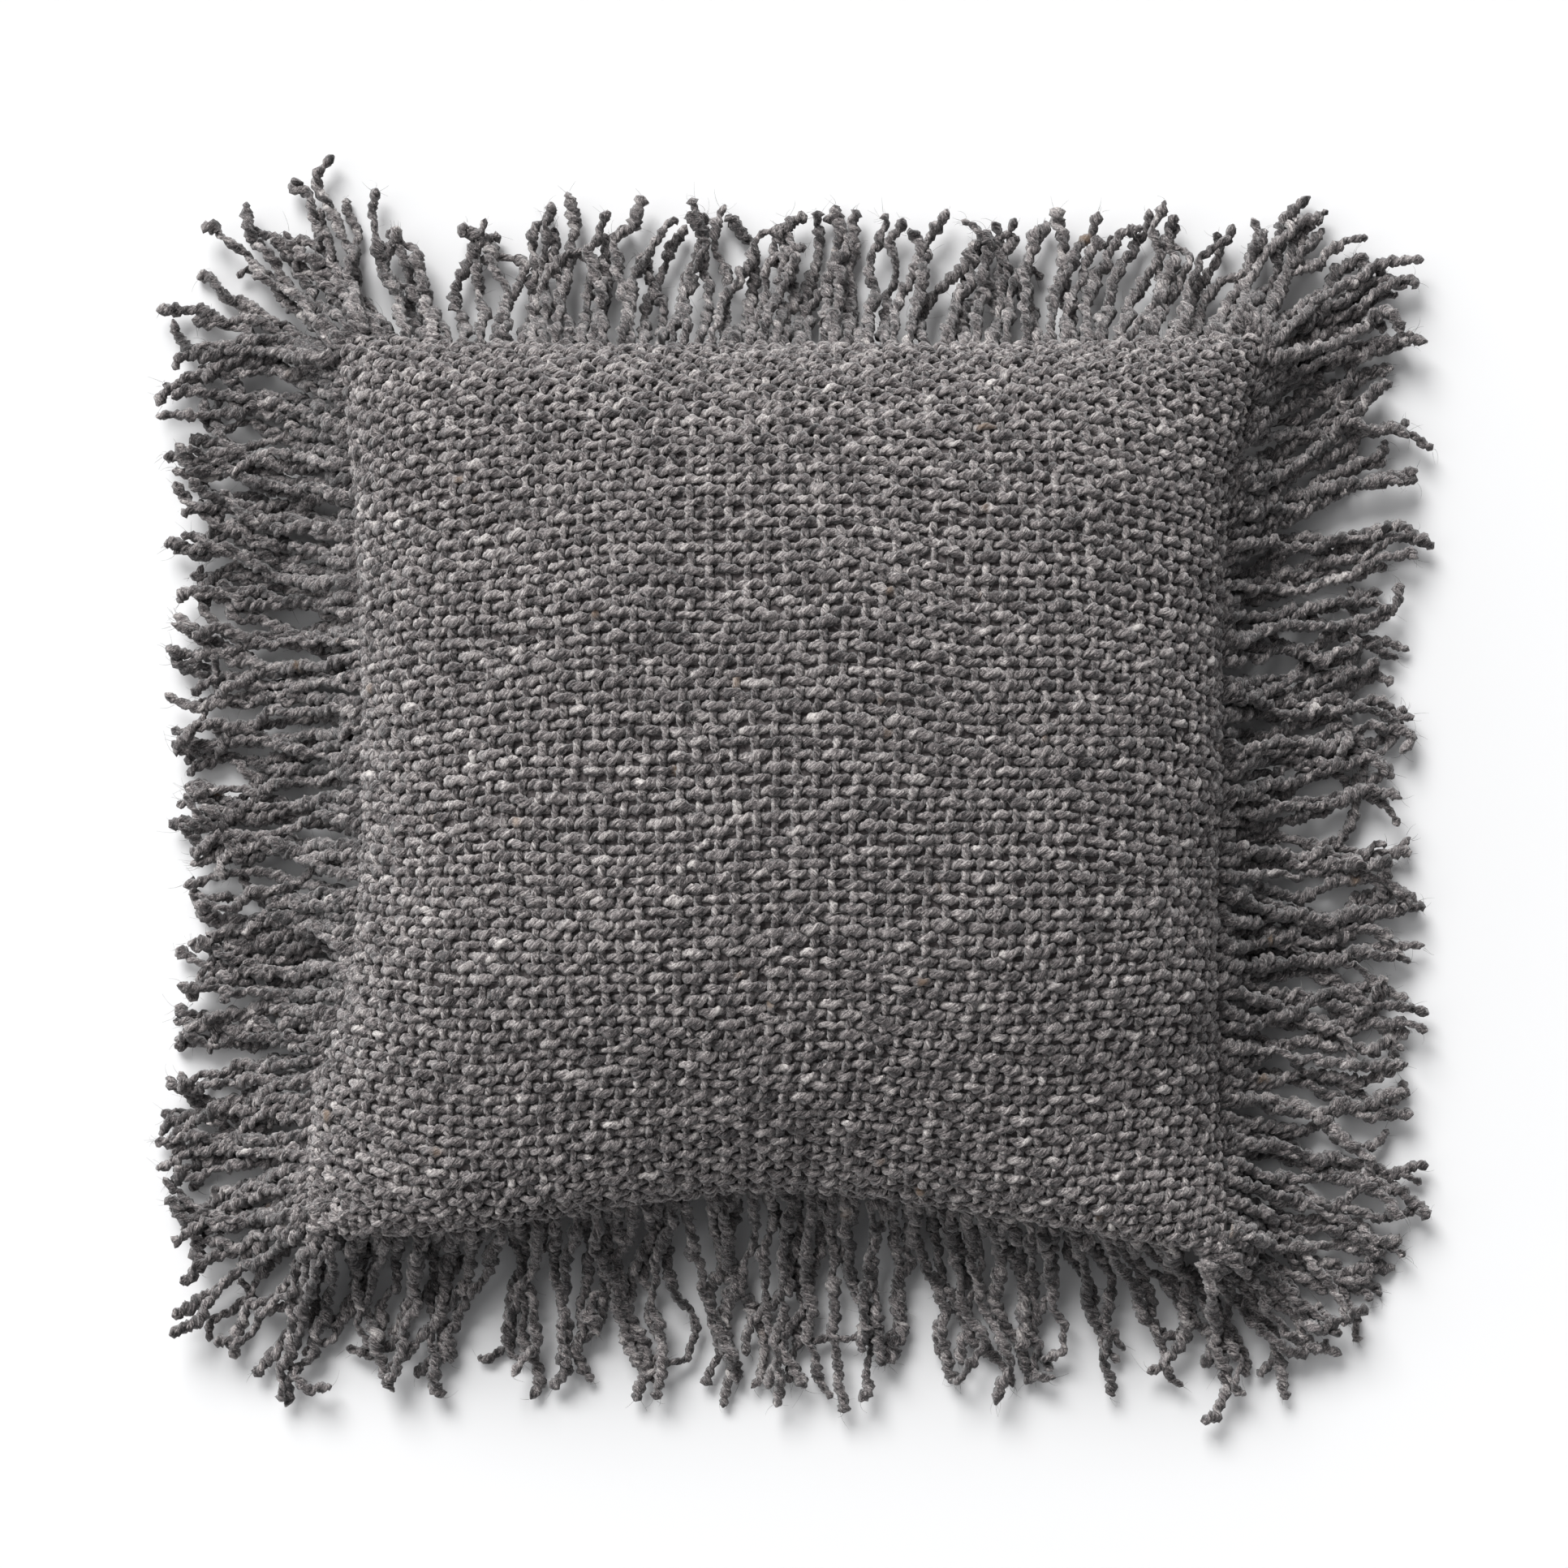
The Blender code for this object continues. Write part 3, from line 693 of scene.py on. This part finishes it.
CORD_R = 0.0041
CORD_STEP = 0.0017
KINK = 0.0008
DROOP = 0.015                # the length that a cord spends on coming down to the table
CORD_LAY = 0.0135
CORD_SIDES = 8
FRINGE_SIDES = {
    # side: cords, how far out the tips reach, the way out, and the lean in degrees along the side
    "left": (134, 0.338, (-1, 0), ((0, -20), (0.12, -9), (0.3, 2), (0.6, 6), (0.85, 6), (1, 30))),
    "right": (122, 0.348, (1, 0), ((0, -26), (0.15, -12), (0.4, -2), (0.6, 4), (0.8, 14), (1, 32))),
    "top": (72, 0.322, (0, 1), (
        (0, -34), (0.12, -20), (0.28, -8), (0.42, 9), (0.7, 7), (0.85, 18), (1, 34))),
    "bottom": (76, 0.338, (0, -1), (
        (0, -30), (0.12, -12), (0.3, 0), (0.6, 4), (0.75, 12), (0.88, 30), (1, 44))),
}
CORNERS = {
    "top_right": (1, 1), "top_left": (-1, 1), "bottom_left": (-1, -1), "bottom_right": (1, -1)}
CORNER_CORDS, CORNER_LENGTH = 9, 0.118
CORNER_WIDTH = 0.009         # of seam, either side of the corner, that its cords come from
IN_SEAM = 0.004              # how far a cord's root is caught behind the seam


def lay_cords(root, outward, lean, length, crowd):
    """Lines of cords from their roots: out from the seam, down to the table and along it. outward
    is an angle for each cord in plan, lean is added to it, crowd is how high they lie in layers."""
    rows = len(root)
    rings = int(length.mean() / CORD_STEP)
    s = np.linspace(0, 1, rings)[None, :]
    own = length[:, None] * np.clip(1 + 0.07 * chance.normal(size=(rows, 1)), 0.80, 1.08)
    curve = radians(17) * wander(rows, rings, 3) * s
    curve = curve + radians(17) * wander(rows, rings, 9) * np.sqrt(s)
    curl = chance.choice([-1, 1], size=(rows, 1)) * chance.uniform(0, 1, size=(rows, 1)) ** 2.5
    curled = curl * radians(120) * np.clip(s - 0.72, 0, 1) / 0.28
    heading = outward[:, None] + lean[:, None] + curve + curled
    reach = chance.uniform(0.026, 0.044, size=(rows, 1))
    layer = chance.integers(0, 3, size=(rows, 1)) * crowd
    bed = CORD_R * 0.9 + layer * np.clip(1.1 - 0.5 * s, 0, 1)
    bed = bed + 0.0022 * np.abs(wander(rows, rings, 7))
    turned_up = chance.uniform(size=(rows, 1)) < 0.3
    tip = np.where(turned_up, chance.uniform(0.003, 0.014, size=(rows, 1)), 0)
    bed = bed + tip * np.clip(s - 0.55, 0, 1) / 0.45
    fall = 1 / (1 + (s * own / reach) ** 2.6)
    z = bed + (root[:, 2:3] - bed) * fall
    drop = np.gradient(z, axis=1)
    flat = np.sqrt(np.clip((own / rings) ** 2 - drop**2, (0.35 * own / rings) ** 2, None))
    along, over = np.cos(heading) * flat, np.sin(heading) * flat
    x = root[:, 0:1] + np.cumsum(along, axis=1) - along[:, :1]
    y = root[:, 1:2] + np.cumsum(over, axis=1) - over[:, :1]
    kinks = KINK * np.stack([wander(rows, rings, rings // 4) for _ in range(3)], axis=-1)
    return np.stack([x, y, z], axis=-1) + kinks * np.minimum(1, 8 * s)[..., None]


def cord_piece(name, middle, *nodes):
    """Spins two-ply cords along lines, a little thinner towards loose, frayed tips."""
    rows, rings = middle.shape[:2]
    out = np.zeros_like(middle)
    out[..., 2] = 1.0
    s = np.linspace(0, 1, rings)
    radius = CORD_R * (1 + 0.19 * wander(rows, rings, 16) - 0.10 * s)
    radius = np.clip(radius, CORD_R * 0.6, CORD_R * 1.35)
    radius = radius * np.sqrt(np.clip((1.0 - s) / 0.018, 0.04, 1))
    plies, rust = shades(rows, rings, rings * CORD_STEP, 0.009)
    plies = [p + 0.05 * chance.normal(size=(rows, 1)) for p in plies]
    made = spin_yarns(name, middle, out, radius, 1.0, 1.0, CORD_SIDES, corded, plies, rust,
                      lay=CORD_LAY, ply=(0.545, 0.465))
    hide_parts(*nodes)
    return made


# Painted shade: the cords are the same wool made darker as a whole, for the shade among them.
corded = wool("plied_wool_cord", -0.10)
EDGES = {
    "left": face_form[0], "right": face_form[-1], "bottom": face_form[:, 0], "top": face_form[:, -1]}
cord_lines = {}


def on_edge(edge, place):
    """Points on a seam, at places counted in lines of the form."""
    k = np.clip(place.astype(int), 0, FINE - 1)
    return edge[k] + (edge[k + 1] - edge[k]) * (place - k)[:, None]


for side, (count, tips, (dx, dy), leans) in FRINGE_SIDES.items():
    share = np.linspace(0.012, 0.988, count) + chance.uniform(-0.3, 0.3, size=count) / count
    root = on_edge(EDGES[side], share * FINE) - np.array([dx, dy, 0]) * IN_SEAM
    root[:, 2] -= 0.0015
    turned = {"left": -1, "right": 1, "top": -1, "bottom": 1}[side]
    lean = np.interp(share, [p[0] for p in leans], [p[1] for p in leans])
    clump = np.cumsum(chance.uniform(size=count) < 0.30)
    packed = side in ("left", "right")
    own = radians(3 if packed else 4.5) * chance.normal(size=clump[-1] + 1)[clump]
    middle_of = np.array([share[clump == c].mean() for c in clump])
    gather = (middle_of - share) * (0.5 if packed else 1.4)
    angle = np.full(count, np.arctan2(dy, dx))
    spread = turned * (radians(1) * lean + own + gather)
    spread = spread + radians(5 if packed else 3) * chance.normal(size=count)
    crowd = 0.0048 if packed else 0.0032
    away = np.abs(root[:, 0] * dx + root[:, 1] * dy)
    length = (tips - away + DROOP) / np.cos(radians(1) * lean * 0.8)
    lines = lay_cords(root, angle, spread, length, crowd)
    cord_lines[side] = lines
    for half, part in enumerate(np.array_split(np.arange(count), 2)):
        nodes = [f"fringe_{side}_{n}" for n in range(1, 6)]
        cord_piece(f"fringe_{side}_half_{half + 1}", lines[part], *nodes)
for corner, (cx, cy) in CORNERS.items():
    edge = EDGES["right" if cx > 0 else "left"]
    at = edge[-1 if cy > 0 else 0]
    spread = np.linspace(-1, 1, CORNER_CORDS)
    root = at[None, :] - IN_SEAM * np.array([cx, cy, 0])
    root = root + CORNER_WIDTH * spread[:, None] * np.array([-cx, cy, 0])
    root[:, 2] -= 0.001
    angle = np.full(CORNER_CORDS, np.arctan2(cy, cx))
    lean = cx * cy * radians(26) * spread + radians(7) * chance.normal(size=CORNER_CORDS)
    lines = lay_cords(root, angle, lean, np.full(CORNER_CORDS, CORNER_LENGTH), 0.004)
    made = cord_piece(f"fringe_corner_{corner}_cords", lines, f"fringe_corner_{corner}")

HEADING_R, HEADING_RINGS, HEADING_IN = 0.0023, 340, 0.0022
for side, edge in EDGES.items():
    dx, dy = FRINGE_SIDES[side][2]
    line = on_edge(edge, np.linspace(0, FINE, HEADING_RINGS))[None]
    line = line - np.array([dx, dy, 0]) * HEADING_IN
    plies, rust = shades(1, HEADING_RINGS, 0.5, 0.009)
    up = np.zeros_like(line)
    up[..., 2] = 1.0
    radius = np.full((1, HEADING_RINGS), HEADING_R)
    made = spin_yarns(f"fringe_heading_{side}_braid", line, up, radius, 1.25, 0.9, 8, corded,
                      plies, rust, lay=0.010)
    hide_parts(f"fringe_heading_{side}")

# --- The back of the cover ------------------------------------------------------------------------
# The same weave in two panels, a wide one above the zip and a narrow one below it. Their cut edges
# are rolled under along the slot.

BACK_WEFT_RINGS, BACK_WARP_RINGS, BACK_SIDES = 200, 190, 6
SLOT_HALF_LENGTH = 0.181
SLOT_HALF = 0.0045
HEM_R, HEM_RINGS = 0.0019, 250
HEM_IN = 0.0026              # how far the hem is rolled in
PICK_CLEAR = 0.0021          # what the picks by the slot give up of their own thickness
COLUMN = np.linalg.norm(np.diff(back_form, axis=1), axis=-1).sum(axis=1).mean()
LINES = np.linspace(0, 1, FINE + 1)
ZIP_SHARE = np.array([np.interp(ZIP_PLACE.y, back_form[i, :, 1], LINES) for i in range(FINE + 1)])
ZIP_PICK = int(round(ZIP_SHARE[FINE // 2] * WEFT_PICKS))


def eased_slot(x):
    """1 along the slot, easing to 0 past its ends."""
    t = np.clip((SLOT_HALF_LENGTH + 0.004 - np.abs(x)) / 0.014, 0, 1)
    return t * t * (3 - 2 * t)


def back_weft(name, picks):
    """Weft picks of the back, which part to either side of the slot."""
    rows, rings = len(picks), BACK_WEFT_RINGS
    a = np.broadcast_to(np.linspace(0, 1, rings), (rows, rings))
    away = (picks + 0.5 - ZIP_PICK)[:, None] / WEFT_PICKS * COLUMN
    zip_line = np.interp(a, LINES, ZIP_SHARE)
    b = ((picks + 0.5) / WEFT_PICKS)[:, None] + (zip_line - ZIP_PICK / WEFT_PICKS) * np.exp(
        -np.abs(away) / 0.05)
    x = read(back_form, a, b)[..., 0]
    push = (SLOT_HALF + WEFT_R - PICK_CLEAR) * eased_slot(x) * np.exp(-np.abs(away) / 0.03)
    b = b + np.sign(away) * push / COLUMN + 0.07 / WEFT_PICKS * wander(rows, rings, 60)
    wave = np.cos(pi * (a * WARP_ENDS - 0.5 + picks[:, None]))
    lift = np.tanh(1.5 * wave) / np.tanh(1.5)
    out = read(back_out, a, b)
    rough = 1 + 0.2 * wander(rows, rings, 70)
    middle = read(back_form, a, b) + out * (WEFT_CRIMP * lift * rough)[..., None]
    radius = WEFT_R * (1 + 0.13 * wander(rows, rings, 55) + 0.06 * wave)
    radius = np.clip(radius, 0.0018, 0.0040)
    plies, rust = shades(rows, rings, YARN_LENGTH, 0.008)
    return spin_yarns(name, middle, out, radius, 1.04, 0.80, BACK_SIDES, woven, plies, rust)


def back_warp(name, ends, above):
    """Warp ends of the back, from the slot up to the top seam or down to the lower one."""
    rows, rings = len(ends), BACK_WARP_RINGS if above else 40
    a = np.broadcast_to(((ends + 0.5) / WARP_ENDS)[:, None], (rows, rings))
    zip_line = np.interp(a[:, :1], LINES, ZIP_SHARE)
    x = read(back_form, a[:, :1], zip_line)[..., 0]
    gap = (SLOT_HALF + HEM_R) * eased_slot(x) / COLUMN
    s = np.linspace(0, 1, rings)[None, :]
    b = zip_line + gap + (1 - zip_line - gap) * s if above else (zip_line - gap) * s
    wave = -np.cos(pi * (b * WEFT_PICKS - 0.5 + ends[:, None]))
    out = read(back_out, a, b)
    middle = read(back_form, a, b) + out * (WARP_CRIMP * wave)[..., None]
    radius = WARP_R * (1 + 0.12 * wander(rows, rings, 50))
    plies, rust = shades(rows, rings, 0.47 if above else 0.04, 0.008)
    return spin_yarns(name, middle, out, radius, 1.0, 0.85, BACK_SIDES, woven, plies, rust,
                      lay=WARP_LAY)


upper_yarns = [
    back_weft(f"back_weft_upper_{k + 1}", picks)
    for k, picks in enumerate(np.array_split(np.arange(ZIP_PICK, WEFT_PICKS), 4))
]
upper_yarns += [
    back_warp(f"back_warp_upper_{k + 1}", ends, True)
    for k, ends in enumerate(np.array_split(np.arange(WARP_ENDS), 2))
]
lower_yarns = [
    back_weft("back_weft_lower", np.arange(0, ZIP_PICK)),
    back_warp("back_warp_lower", np.arange(WARP_ENDS), False),
]
ZIP_UP = Vector((0.0, cos(ZIP_TILT), sin(ZIP_TILT)))
ZIP_IN = Vector((0.0, -sin(ZIP_TILT), cos(ZIP_TILT)))


def by_zip(x, up, deep):
    """Points by the zip: along it, up the back from its middle, and in from the cloth."""
    y = ZIP_PLACE.y + ZIP_UP.y * up + ZIP_IN.y * deep
    z = ZIP_PLACE.z + ZIP_UP.z * up + ZIP_IN.z * deep
    return np.stack([x, y, z], axis=-1)


for part, way, yarns in (("upper", 1, upper_yarns), ("lower", -1, lower_yarns)):
    x = np.linspace(-SLOT_HALF_LENGTH - 0.006, SLOT_HALF_LENGTH + 0.006, HEM_RINGS)[None, :]
    up = way * (HEM_R * 0.5 + (SLOT_HALF + HEM_R * 0.5) * eased_slot(x))
    line = by_zip(x, up, HEM_IN)
    out = np.broadcast_to(-np.array(ZIP_IN), line.shape)
    plies, rust = shades(1, HEM_RINGS, 0.37, 0.009)
    radius = np.full((1, HEM_RINGS), HEM_R)
    hem = spin_yarns(f"zip_slot_hem_{part}", line, out, radius, 1.0, 1.3, 8, woven, plies, rust,
                     lay=0.012)
    yarns.append(hem)

slot_along = eased_slot(read(back_form, LINES, ZIP_SHARE)[..., 0])
slot_share = (SLOT_HALF + HEM_R) / COLUMN * np.maximum(slot_along, 0.04)
# The back's yarns get the same painted shade sheet under them, either side of the slot.
upper_painted_shade = shade_sheet("back_shade_sheet_upper", back_form, back_out, low=ZIP_SHARE + slot_share,
                      cells=(80, 54))
lower_painted_shade = shade_sheet("back_shade_sheet_lower", back_form, back_out, high=ZIP_SHARE - slot_share,
                      cells=(80, 8))
for piece in [upper_painted_shade, *upper_yarns]:
    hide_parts("cover_back_panel_upper")
for piece in [lower_painted_shade, *lower_yarns]:
    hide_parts("cover_back_panel_lower")

# --- The casing and the filling -------------------------------------------------------------------
# Bleached cotton, sewn shut, over a lumpy mass of white polyester fibre. Both stay inside the
# cover, a little smaller than it all round.


def cotton():
    """Plain woven cotton, bleached, with soft crease lines painted darker as shade."""
    made, tree, shader = finish("bleached_cotton", 0.85, sheen=0.1, specular=0.2)
    place = node(tree, "ShaderNodeTexCoord", out=3)
    threads = []
    for k in (0, 1):
        threads.append(node(tree, "ShaderNodeTexWave", {"bands_direction": "XY"[k]}, {
            "Vector": place, "Scale": 420.0, "Distortion": 0.6, "Detail": 1.0}, out=1))
    weave = threads[0] * 0.5 + threads[1] * 0.5
    crease_shade = noise(tree, place, 14.0, 3.0)
    ecru_and_shade, bleached = (0.62, 0.60, 0.56), (0.82, 0.81, 0.78)
    # Painted shade: a broad noise darkens the cloth in crease lines that have no relief.
    coloured(tree, shader, ((0.2, ecru_and_shade), (0.8, bleached)), weave * 0.5 + crease_shade * 0.5)
    raised(tree, shader, 0.4, 0.0002, weave)
    return made


def fibrefill():
    """Carded polyester fibre in tufts."""
    made, tree, shader = finish("polyester_fibrefill", 0.7, sheen=0.3, specular=0.3)
    place = node(tree, "ShaderNodeTexCoord", out=3)
    tufts = noise(tree, place, 60.0, 6.0, Roughness=0.7, Distortion=1.5)
    hollow_shade, tuft = (0.70, 0.71, 0.72), (0.92, 0.92, 0.92)
    # Painted shade: the low places between the tufts, where the bump sinks, are darker.
    coloured(tree, shader, ((0.3, hollow_shade), (0.7, tuft)), tufts)
    raised(tree, shader, 0.8, 0.002, tufts)
    return made


EVERY = 3                    # the casing needs only every third line of the form
for name, plan_share, height_share, lift, look, slot, nodes in (
    ("insert_casing", 0.955, 0.90, 0.004, cotton(), "white_cotton",
     ("insert_casing_front", "insert_casing_back")),
    ("insert_filling_mass", 0.945, 0.87, 0.005, fibrefill(), "polyester_fibre",
     ("insert_filling",)),
):
    face, back = [
        shrunk(grid[::EVERY, ::EVERY], plan_share, height_share, lift)
        for grid in (face_form, back_form)
    ]
    back[0], back[-1] = face[0], face[-1]
    back[:, 0], back[:, -1] = face[:, 0], face[:, -1]
    piece = shell(name, face, back)
    piece.data.materials.append(look)
    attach(piece, "pillow")
    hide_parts(*nodes)

# --- The zip --------------------------------------------------------------------------------------
# A closed nylon coil zip on woven tapes, with a dark nickel slider, pull and stops. The solids of
# the tapes and the metal are right as they are and get their finishes here. The coils are wound
# from monofilament.

COIL_HALF_LENGTH, COIL_PITCH = 0.174, 0.0015
COIL_MIDDLE, COIL_REACH = 0.00155, 0.0018
COIL_DEPTH, COIL_RISE = 0.0022, 0.00085
MONOFILAMENT_R = 0.00034


def wire(name, line, radius, sides, look):
    """Round wires along the lines (row, ring, xyz)."""
    rows, rings = line.shape[:2]
    mesh, ring, side = tubes(name, rows, rings, sides)
    ahead = np.gradient(line, axis=1)
    ahead /= np.maximum(np.linalg.norm(ahead, axis=-1, keepdims=True), 1e-12)
    out = np.where(np.abs(ahead[..., 2:3]) < 0.8, np.array([0, 0, 1.0]), np.array([0, 1.0, 0]))
    out = out - ahead * np.sum(out * ahead, axis=-1, keepdims=True)
    out /= np.linalg.norm(out, axis=-1, keepdims=True)
    across = np.cross(out, ahead)
    angle = 2 * pi * side / sides
    size = np.broadcast_to(radius, (rows, rings))[:, ring]
    place = (line[:, ring] + across[:, ring] * (size * np.cos(angle))[..., None]
             + out[:, ring] * (size * np.sin(angle))[..., None])
    place[..., 2] = np.maximum(place[..., 2], FLOOR_GAP)
    mesh.vertices.foreach_set("co", place.astype(np.float32).ravel())
    mesh.update()
    return in_pillow(name, mesh, look)


def nylon():
    """Dyed monofilament with a dull gloss."""
    made, tree, shader = finish("dark_nylon", 0.38, specular=0.5)
    place = node(tree, "ShaderNodeTexCoord", out=3)
    cloud = noise(tree, place, 700.0, 2.0)
    black, dulled = (0.022, 0.022, 0.024), (0.045, 0.044, 0.046)
    coloured(tree, shader, ((0.3, black), (0.7, dulled)), cloud)
    tree.links.new((cloud * 0.3 + 0.25).socket, shader.inputs["Roughness"])
    return made


def zip_tape():
    """Fine charcoal tape, ribbed and twilled."""
    made, tree, shader = finish("woven_zip_tape", 0.85, sheen=0.1, specular=0.2)
    place = node(tree, "ShaderNodeTexCoord", out=3)
    ribs = node(tree, "ShaderNodeTexWave", {"bands_direction": "X"}, {
        "Vector": place, "Scale": 330.0, "Distortion": 0.4}, out=1)
    twill = node(tree, "ShaderNodeTexWave", {"bands_direction": "DIAGONAL"}, {
        "Vector": place, "Scale": 260.0, "Distortion": 0.8}, out=1)
    cloth = ribs * 0.6 + twill * 0.4
    groove_shade, rib = (0.028, 0.027, 0.028), (0.11, 0.106, 0.106)
    # Painted shade: the grooves between the ribs, where the bump sinks, are much darker.
    coloured(tree, shader, ((0.1, groove_shade), (0.9, rib)), cloth)
    raised(tree, shader, 0.6, 0.0002, cloth)
    return made


def dark_nickel():
    """Plated metal, brushed, and rubbed brighter in places."""
    made, tree, shader = finish("worn_dark_nickel", 0.3, metallic=1.0, specular=0.5)
    place = node(tree, "ShaderNodeTexCoord", out=3)
    stretched = node(tree, "ShaderNodeMapping", {}, {
        "Vector": place, "Scale": (300.0, 2600.0, 2600.0)})
    brushed = noise(tree, stretched, 1.0, 3.0)
    rubbed = noise(tree, place, 330.0, 3.0)
    dark, worn, bright = (0.12, 0.115, 0.11), (0.21, 0.205, 0.20), (0.36, 0.35, 0.34)
    stops = ((0.35, dark), (0.6, worn), (0.75, bright))
    coloured(tree, shader, stops, rubbed * 0.7 + brushed * 0.3)
    tree.links.new((brushed * 0.25 + rubbed * 0.25 + 0.08).socket, shader.inputs["Roughness"])
    raised(tree, shader, 0.25, 0.0001, brushed)
    return made


tape_finish, metal_finish, nylon_finish = zip_tape(), dark_nickel(), nylon()
for part, look in (
    ("zip_tape_upper", tape_finish), ("zip_tape_lower", tape_finish),
    ("zip_stop_closed_end", metal_finish), ("zip_stop_open_end", metal_finish),
    ("zip_slider", metal_finish), ("zip_pull", metal_finish),
):
    bpy.data.objects[part].material_slots[0].material = look
turns = int(2 * COIL_HALF_LENGTH / COIL_PITCH)
for part, way, ahead in (("upper", 1, 0.0), ("lower", -1, 0.5)):
    t = np.linspace(0, turns, turns * 8)
    x = -COIL_HALF_LENGTH + (t + ahead) * COIL_PITCH
    up = way * (COIL_MIDDLE + COIL_REACH * np.cos(2 * pi * t))
    line = by_zip(x, up, COIL_DEPTH + COIL_RISE * np.sin(2 * pi * t))[None]
    coil = wire(f"zip_coil_{part}_wound", line, MONOFILAMENT_R, 4, nylon_finish)
    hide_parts(f"zip_coil_{part}")

# --- The care label -------------------------------------------------------------------------------
# A blank strip of white woven satin, caught in the lower seam behind the zip. It lies on the lower
# back cloth and is a little curled.


def satin():
    """White satin ribbon with its threads across."""
    made, tree, shader = finish("white_satin", 0.42, sheen=0.15, specular=0.5)
    place = node(tree, "ShaderNodeTexCoord", out=3)
    threads = node(tree, "ShaderNodeTexWave", {"bands_direction": "X"}, {
        "Vector": place, "Scale": 900.0, "Distortion": 0.5}, out=1)
    slack = noise(tree, place, 160.0, 2.0)
    shadow, gleam = (0.66, 0.65, 0.62), (0.84, 0.83, 0.81)
    coloured(tree, shader, ((0.2, shadow), (0.8, gleam)), threads * 0.4 + slack * 0.6)
    raised(tree, shader, 0.3, 0.0001, threads)
    return made


LABEL_THICK = 0.0004
low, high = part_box("care_label")
label_width = high[0] - low[0]
bm = bmesh.new()
bmesh.ops.create_grid(bm, x_segments=14, y_segments=22, size=0.5)
walls = bmesh.ops.extrude_face_region(bm, geom=bm.faces[:])["geom"]
lifted = {g for g in walls if isinstance(g, bmesh.types.BMVert)}
for vert in bm.verts:
    s, t = vert.co.x + 0.5, vert.co.y + 0.5
    curl = 0.0012 * t * t * sin(pi * s) + 0.0016 * t**3 * (s - 0.3)
    deep = LABEL_THICK * (vert in lifted) - curl
    vert.co = Vector((low[0] + label_width * s, low[1] + (high[1] - low[1]) * t,
                      high[2] + (low[2] - high[2]) * t)) + ZIP_IN * deep
bmesh.ops.recalc_face_normals(bm, faces=bm.faces[:])
mesh = bpy.data.meshes.new("care_label_satin")
bm.to_mesh(mesh)
bm.free()
mesh.shade_smooth()
label = in_pillow("care_label_satin", mesh, satin())
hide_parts("care_label")

# --- Loose fibres ---------------------------------------------------------------------------------
# Wool fibres that have worked loose stand off the face and the fringe as a thin fuzz. Each is
# still held by its root.

FACE_FIBRES, CORD_FIBRES = 3000, 9  # on the whole face, and on each cord
FIBRE_R = 0.00011
FACE_LONGEST, CORD_LONGEST = 0.017, 0.008


def fibres(name, roots, outs, ahead, longest, slot):
    """Thin curved hairs from their roots, first out and then along."""
    rows, rings = len(roots), 6
    s = np.linspace(0, 1, rings)[None, :, None]
    length = (longest * chance.uniform(0.35, 1.0, size=rows))[:, None, None]
    side = np.cross(outs, ahead)
    swing = chance.normal(size=(rows, 1, 1)) * 0.9
    rise = 0.28 * np.sin(s * pi * 0.7) * chance.uniform(0.3, 1.0, size=(rows, 1, 1))
    line = roots[:, None] + length * (
        outs[:, None] * rise + ahead[:, None] * s + side[:, None] * swing * s * s)
    radius = FIBRE_R * (1.1 - 0.7 * np.linspace(0, 1, rings))[None, :]
    return wire(name, line, radius, 3, loose)


def hair():
    """Single fibres, each dark, grey or pale."""
    made, tree, shader = finish("loose_wool_fibre", 0.8, specular=0.2)
    place = node(tree, "ShaderNodeTexCoord", out=3)
    mixed = noise(tree, place, 240.0, 1.0)
    dark, grey, pale = (0.05, 0.047, 0.047), (0.20, 0.19, 0.19), (0.45, 0.44, 0.42)
    coloured(tree, shader, ((0.35, dark), (0.5, grey), (0.7, pale)), mixed)
    return made


loose = hair()
a, b = chance.uniform(0.01, 0.99, size=(2, FACE_FIBRES))
out = read(face_out, a, b)
way = chance.uniform(0, 2 * pi, size=FACE_FIBRES)
ahead = np.stack([np.cos(way), np.sin(way), np.zeros(FACE_FIBRES)], axis=-1)
ahead -= out * np.sum(ahead * out, axis=-1, keepdims=True)
roots = read(face_form, a, b) + out * 0.0022
face_fuzz = fibres("face_fuzz", roots, out, ahead, FACE_LONGEST, "woven_wool")
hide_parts("cover_front_panel")
for side, lines in cord_lines.items():
    rows, rings = lines.shape[:2]
    count = rows * CORD_FIBRES
    row = chance.integers(0, rows, size=count)
    ring = chance.integers(4, rings - 1, size=count)
    ring = np.where(chance.uniform(size=count) < 0.25, rings - 2, ring)
    out = chance.normal(size=(count, 3))
    out[:, 2] = np.abs(out[:, 2])
    out /= np.linalg.norm(out, axis=-1, keepdims=True)
    along = lines[row, ring] - lines[row, ring - 3]
    along = along / np.linalg.norm(along, axis=-1, keepdims=True)
    along = along + 0.8 * chance.normal(size=(count, 3))
    along /= np.linalg.norm(along, axis=-1, keepdims=True)
    roots = lines[row, ring] + out * CORD_R * 0.6
    fuzz = fibres(f"fringe_fuzz_{side}", roots, out, along, CORD_LONGEST, "wool_cord")
    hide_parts(*[f"fringe_{side}_{n}" for n in range(1, 6)])
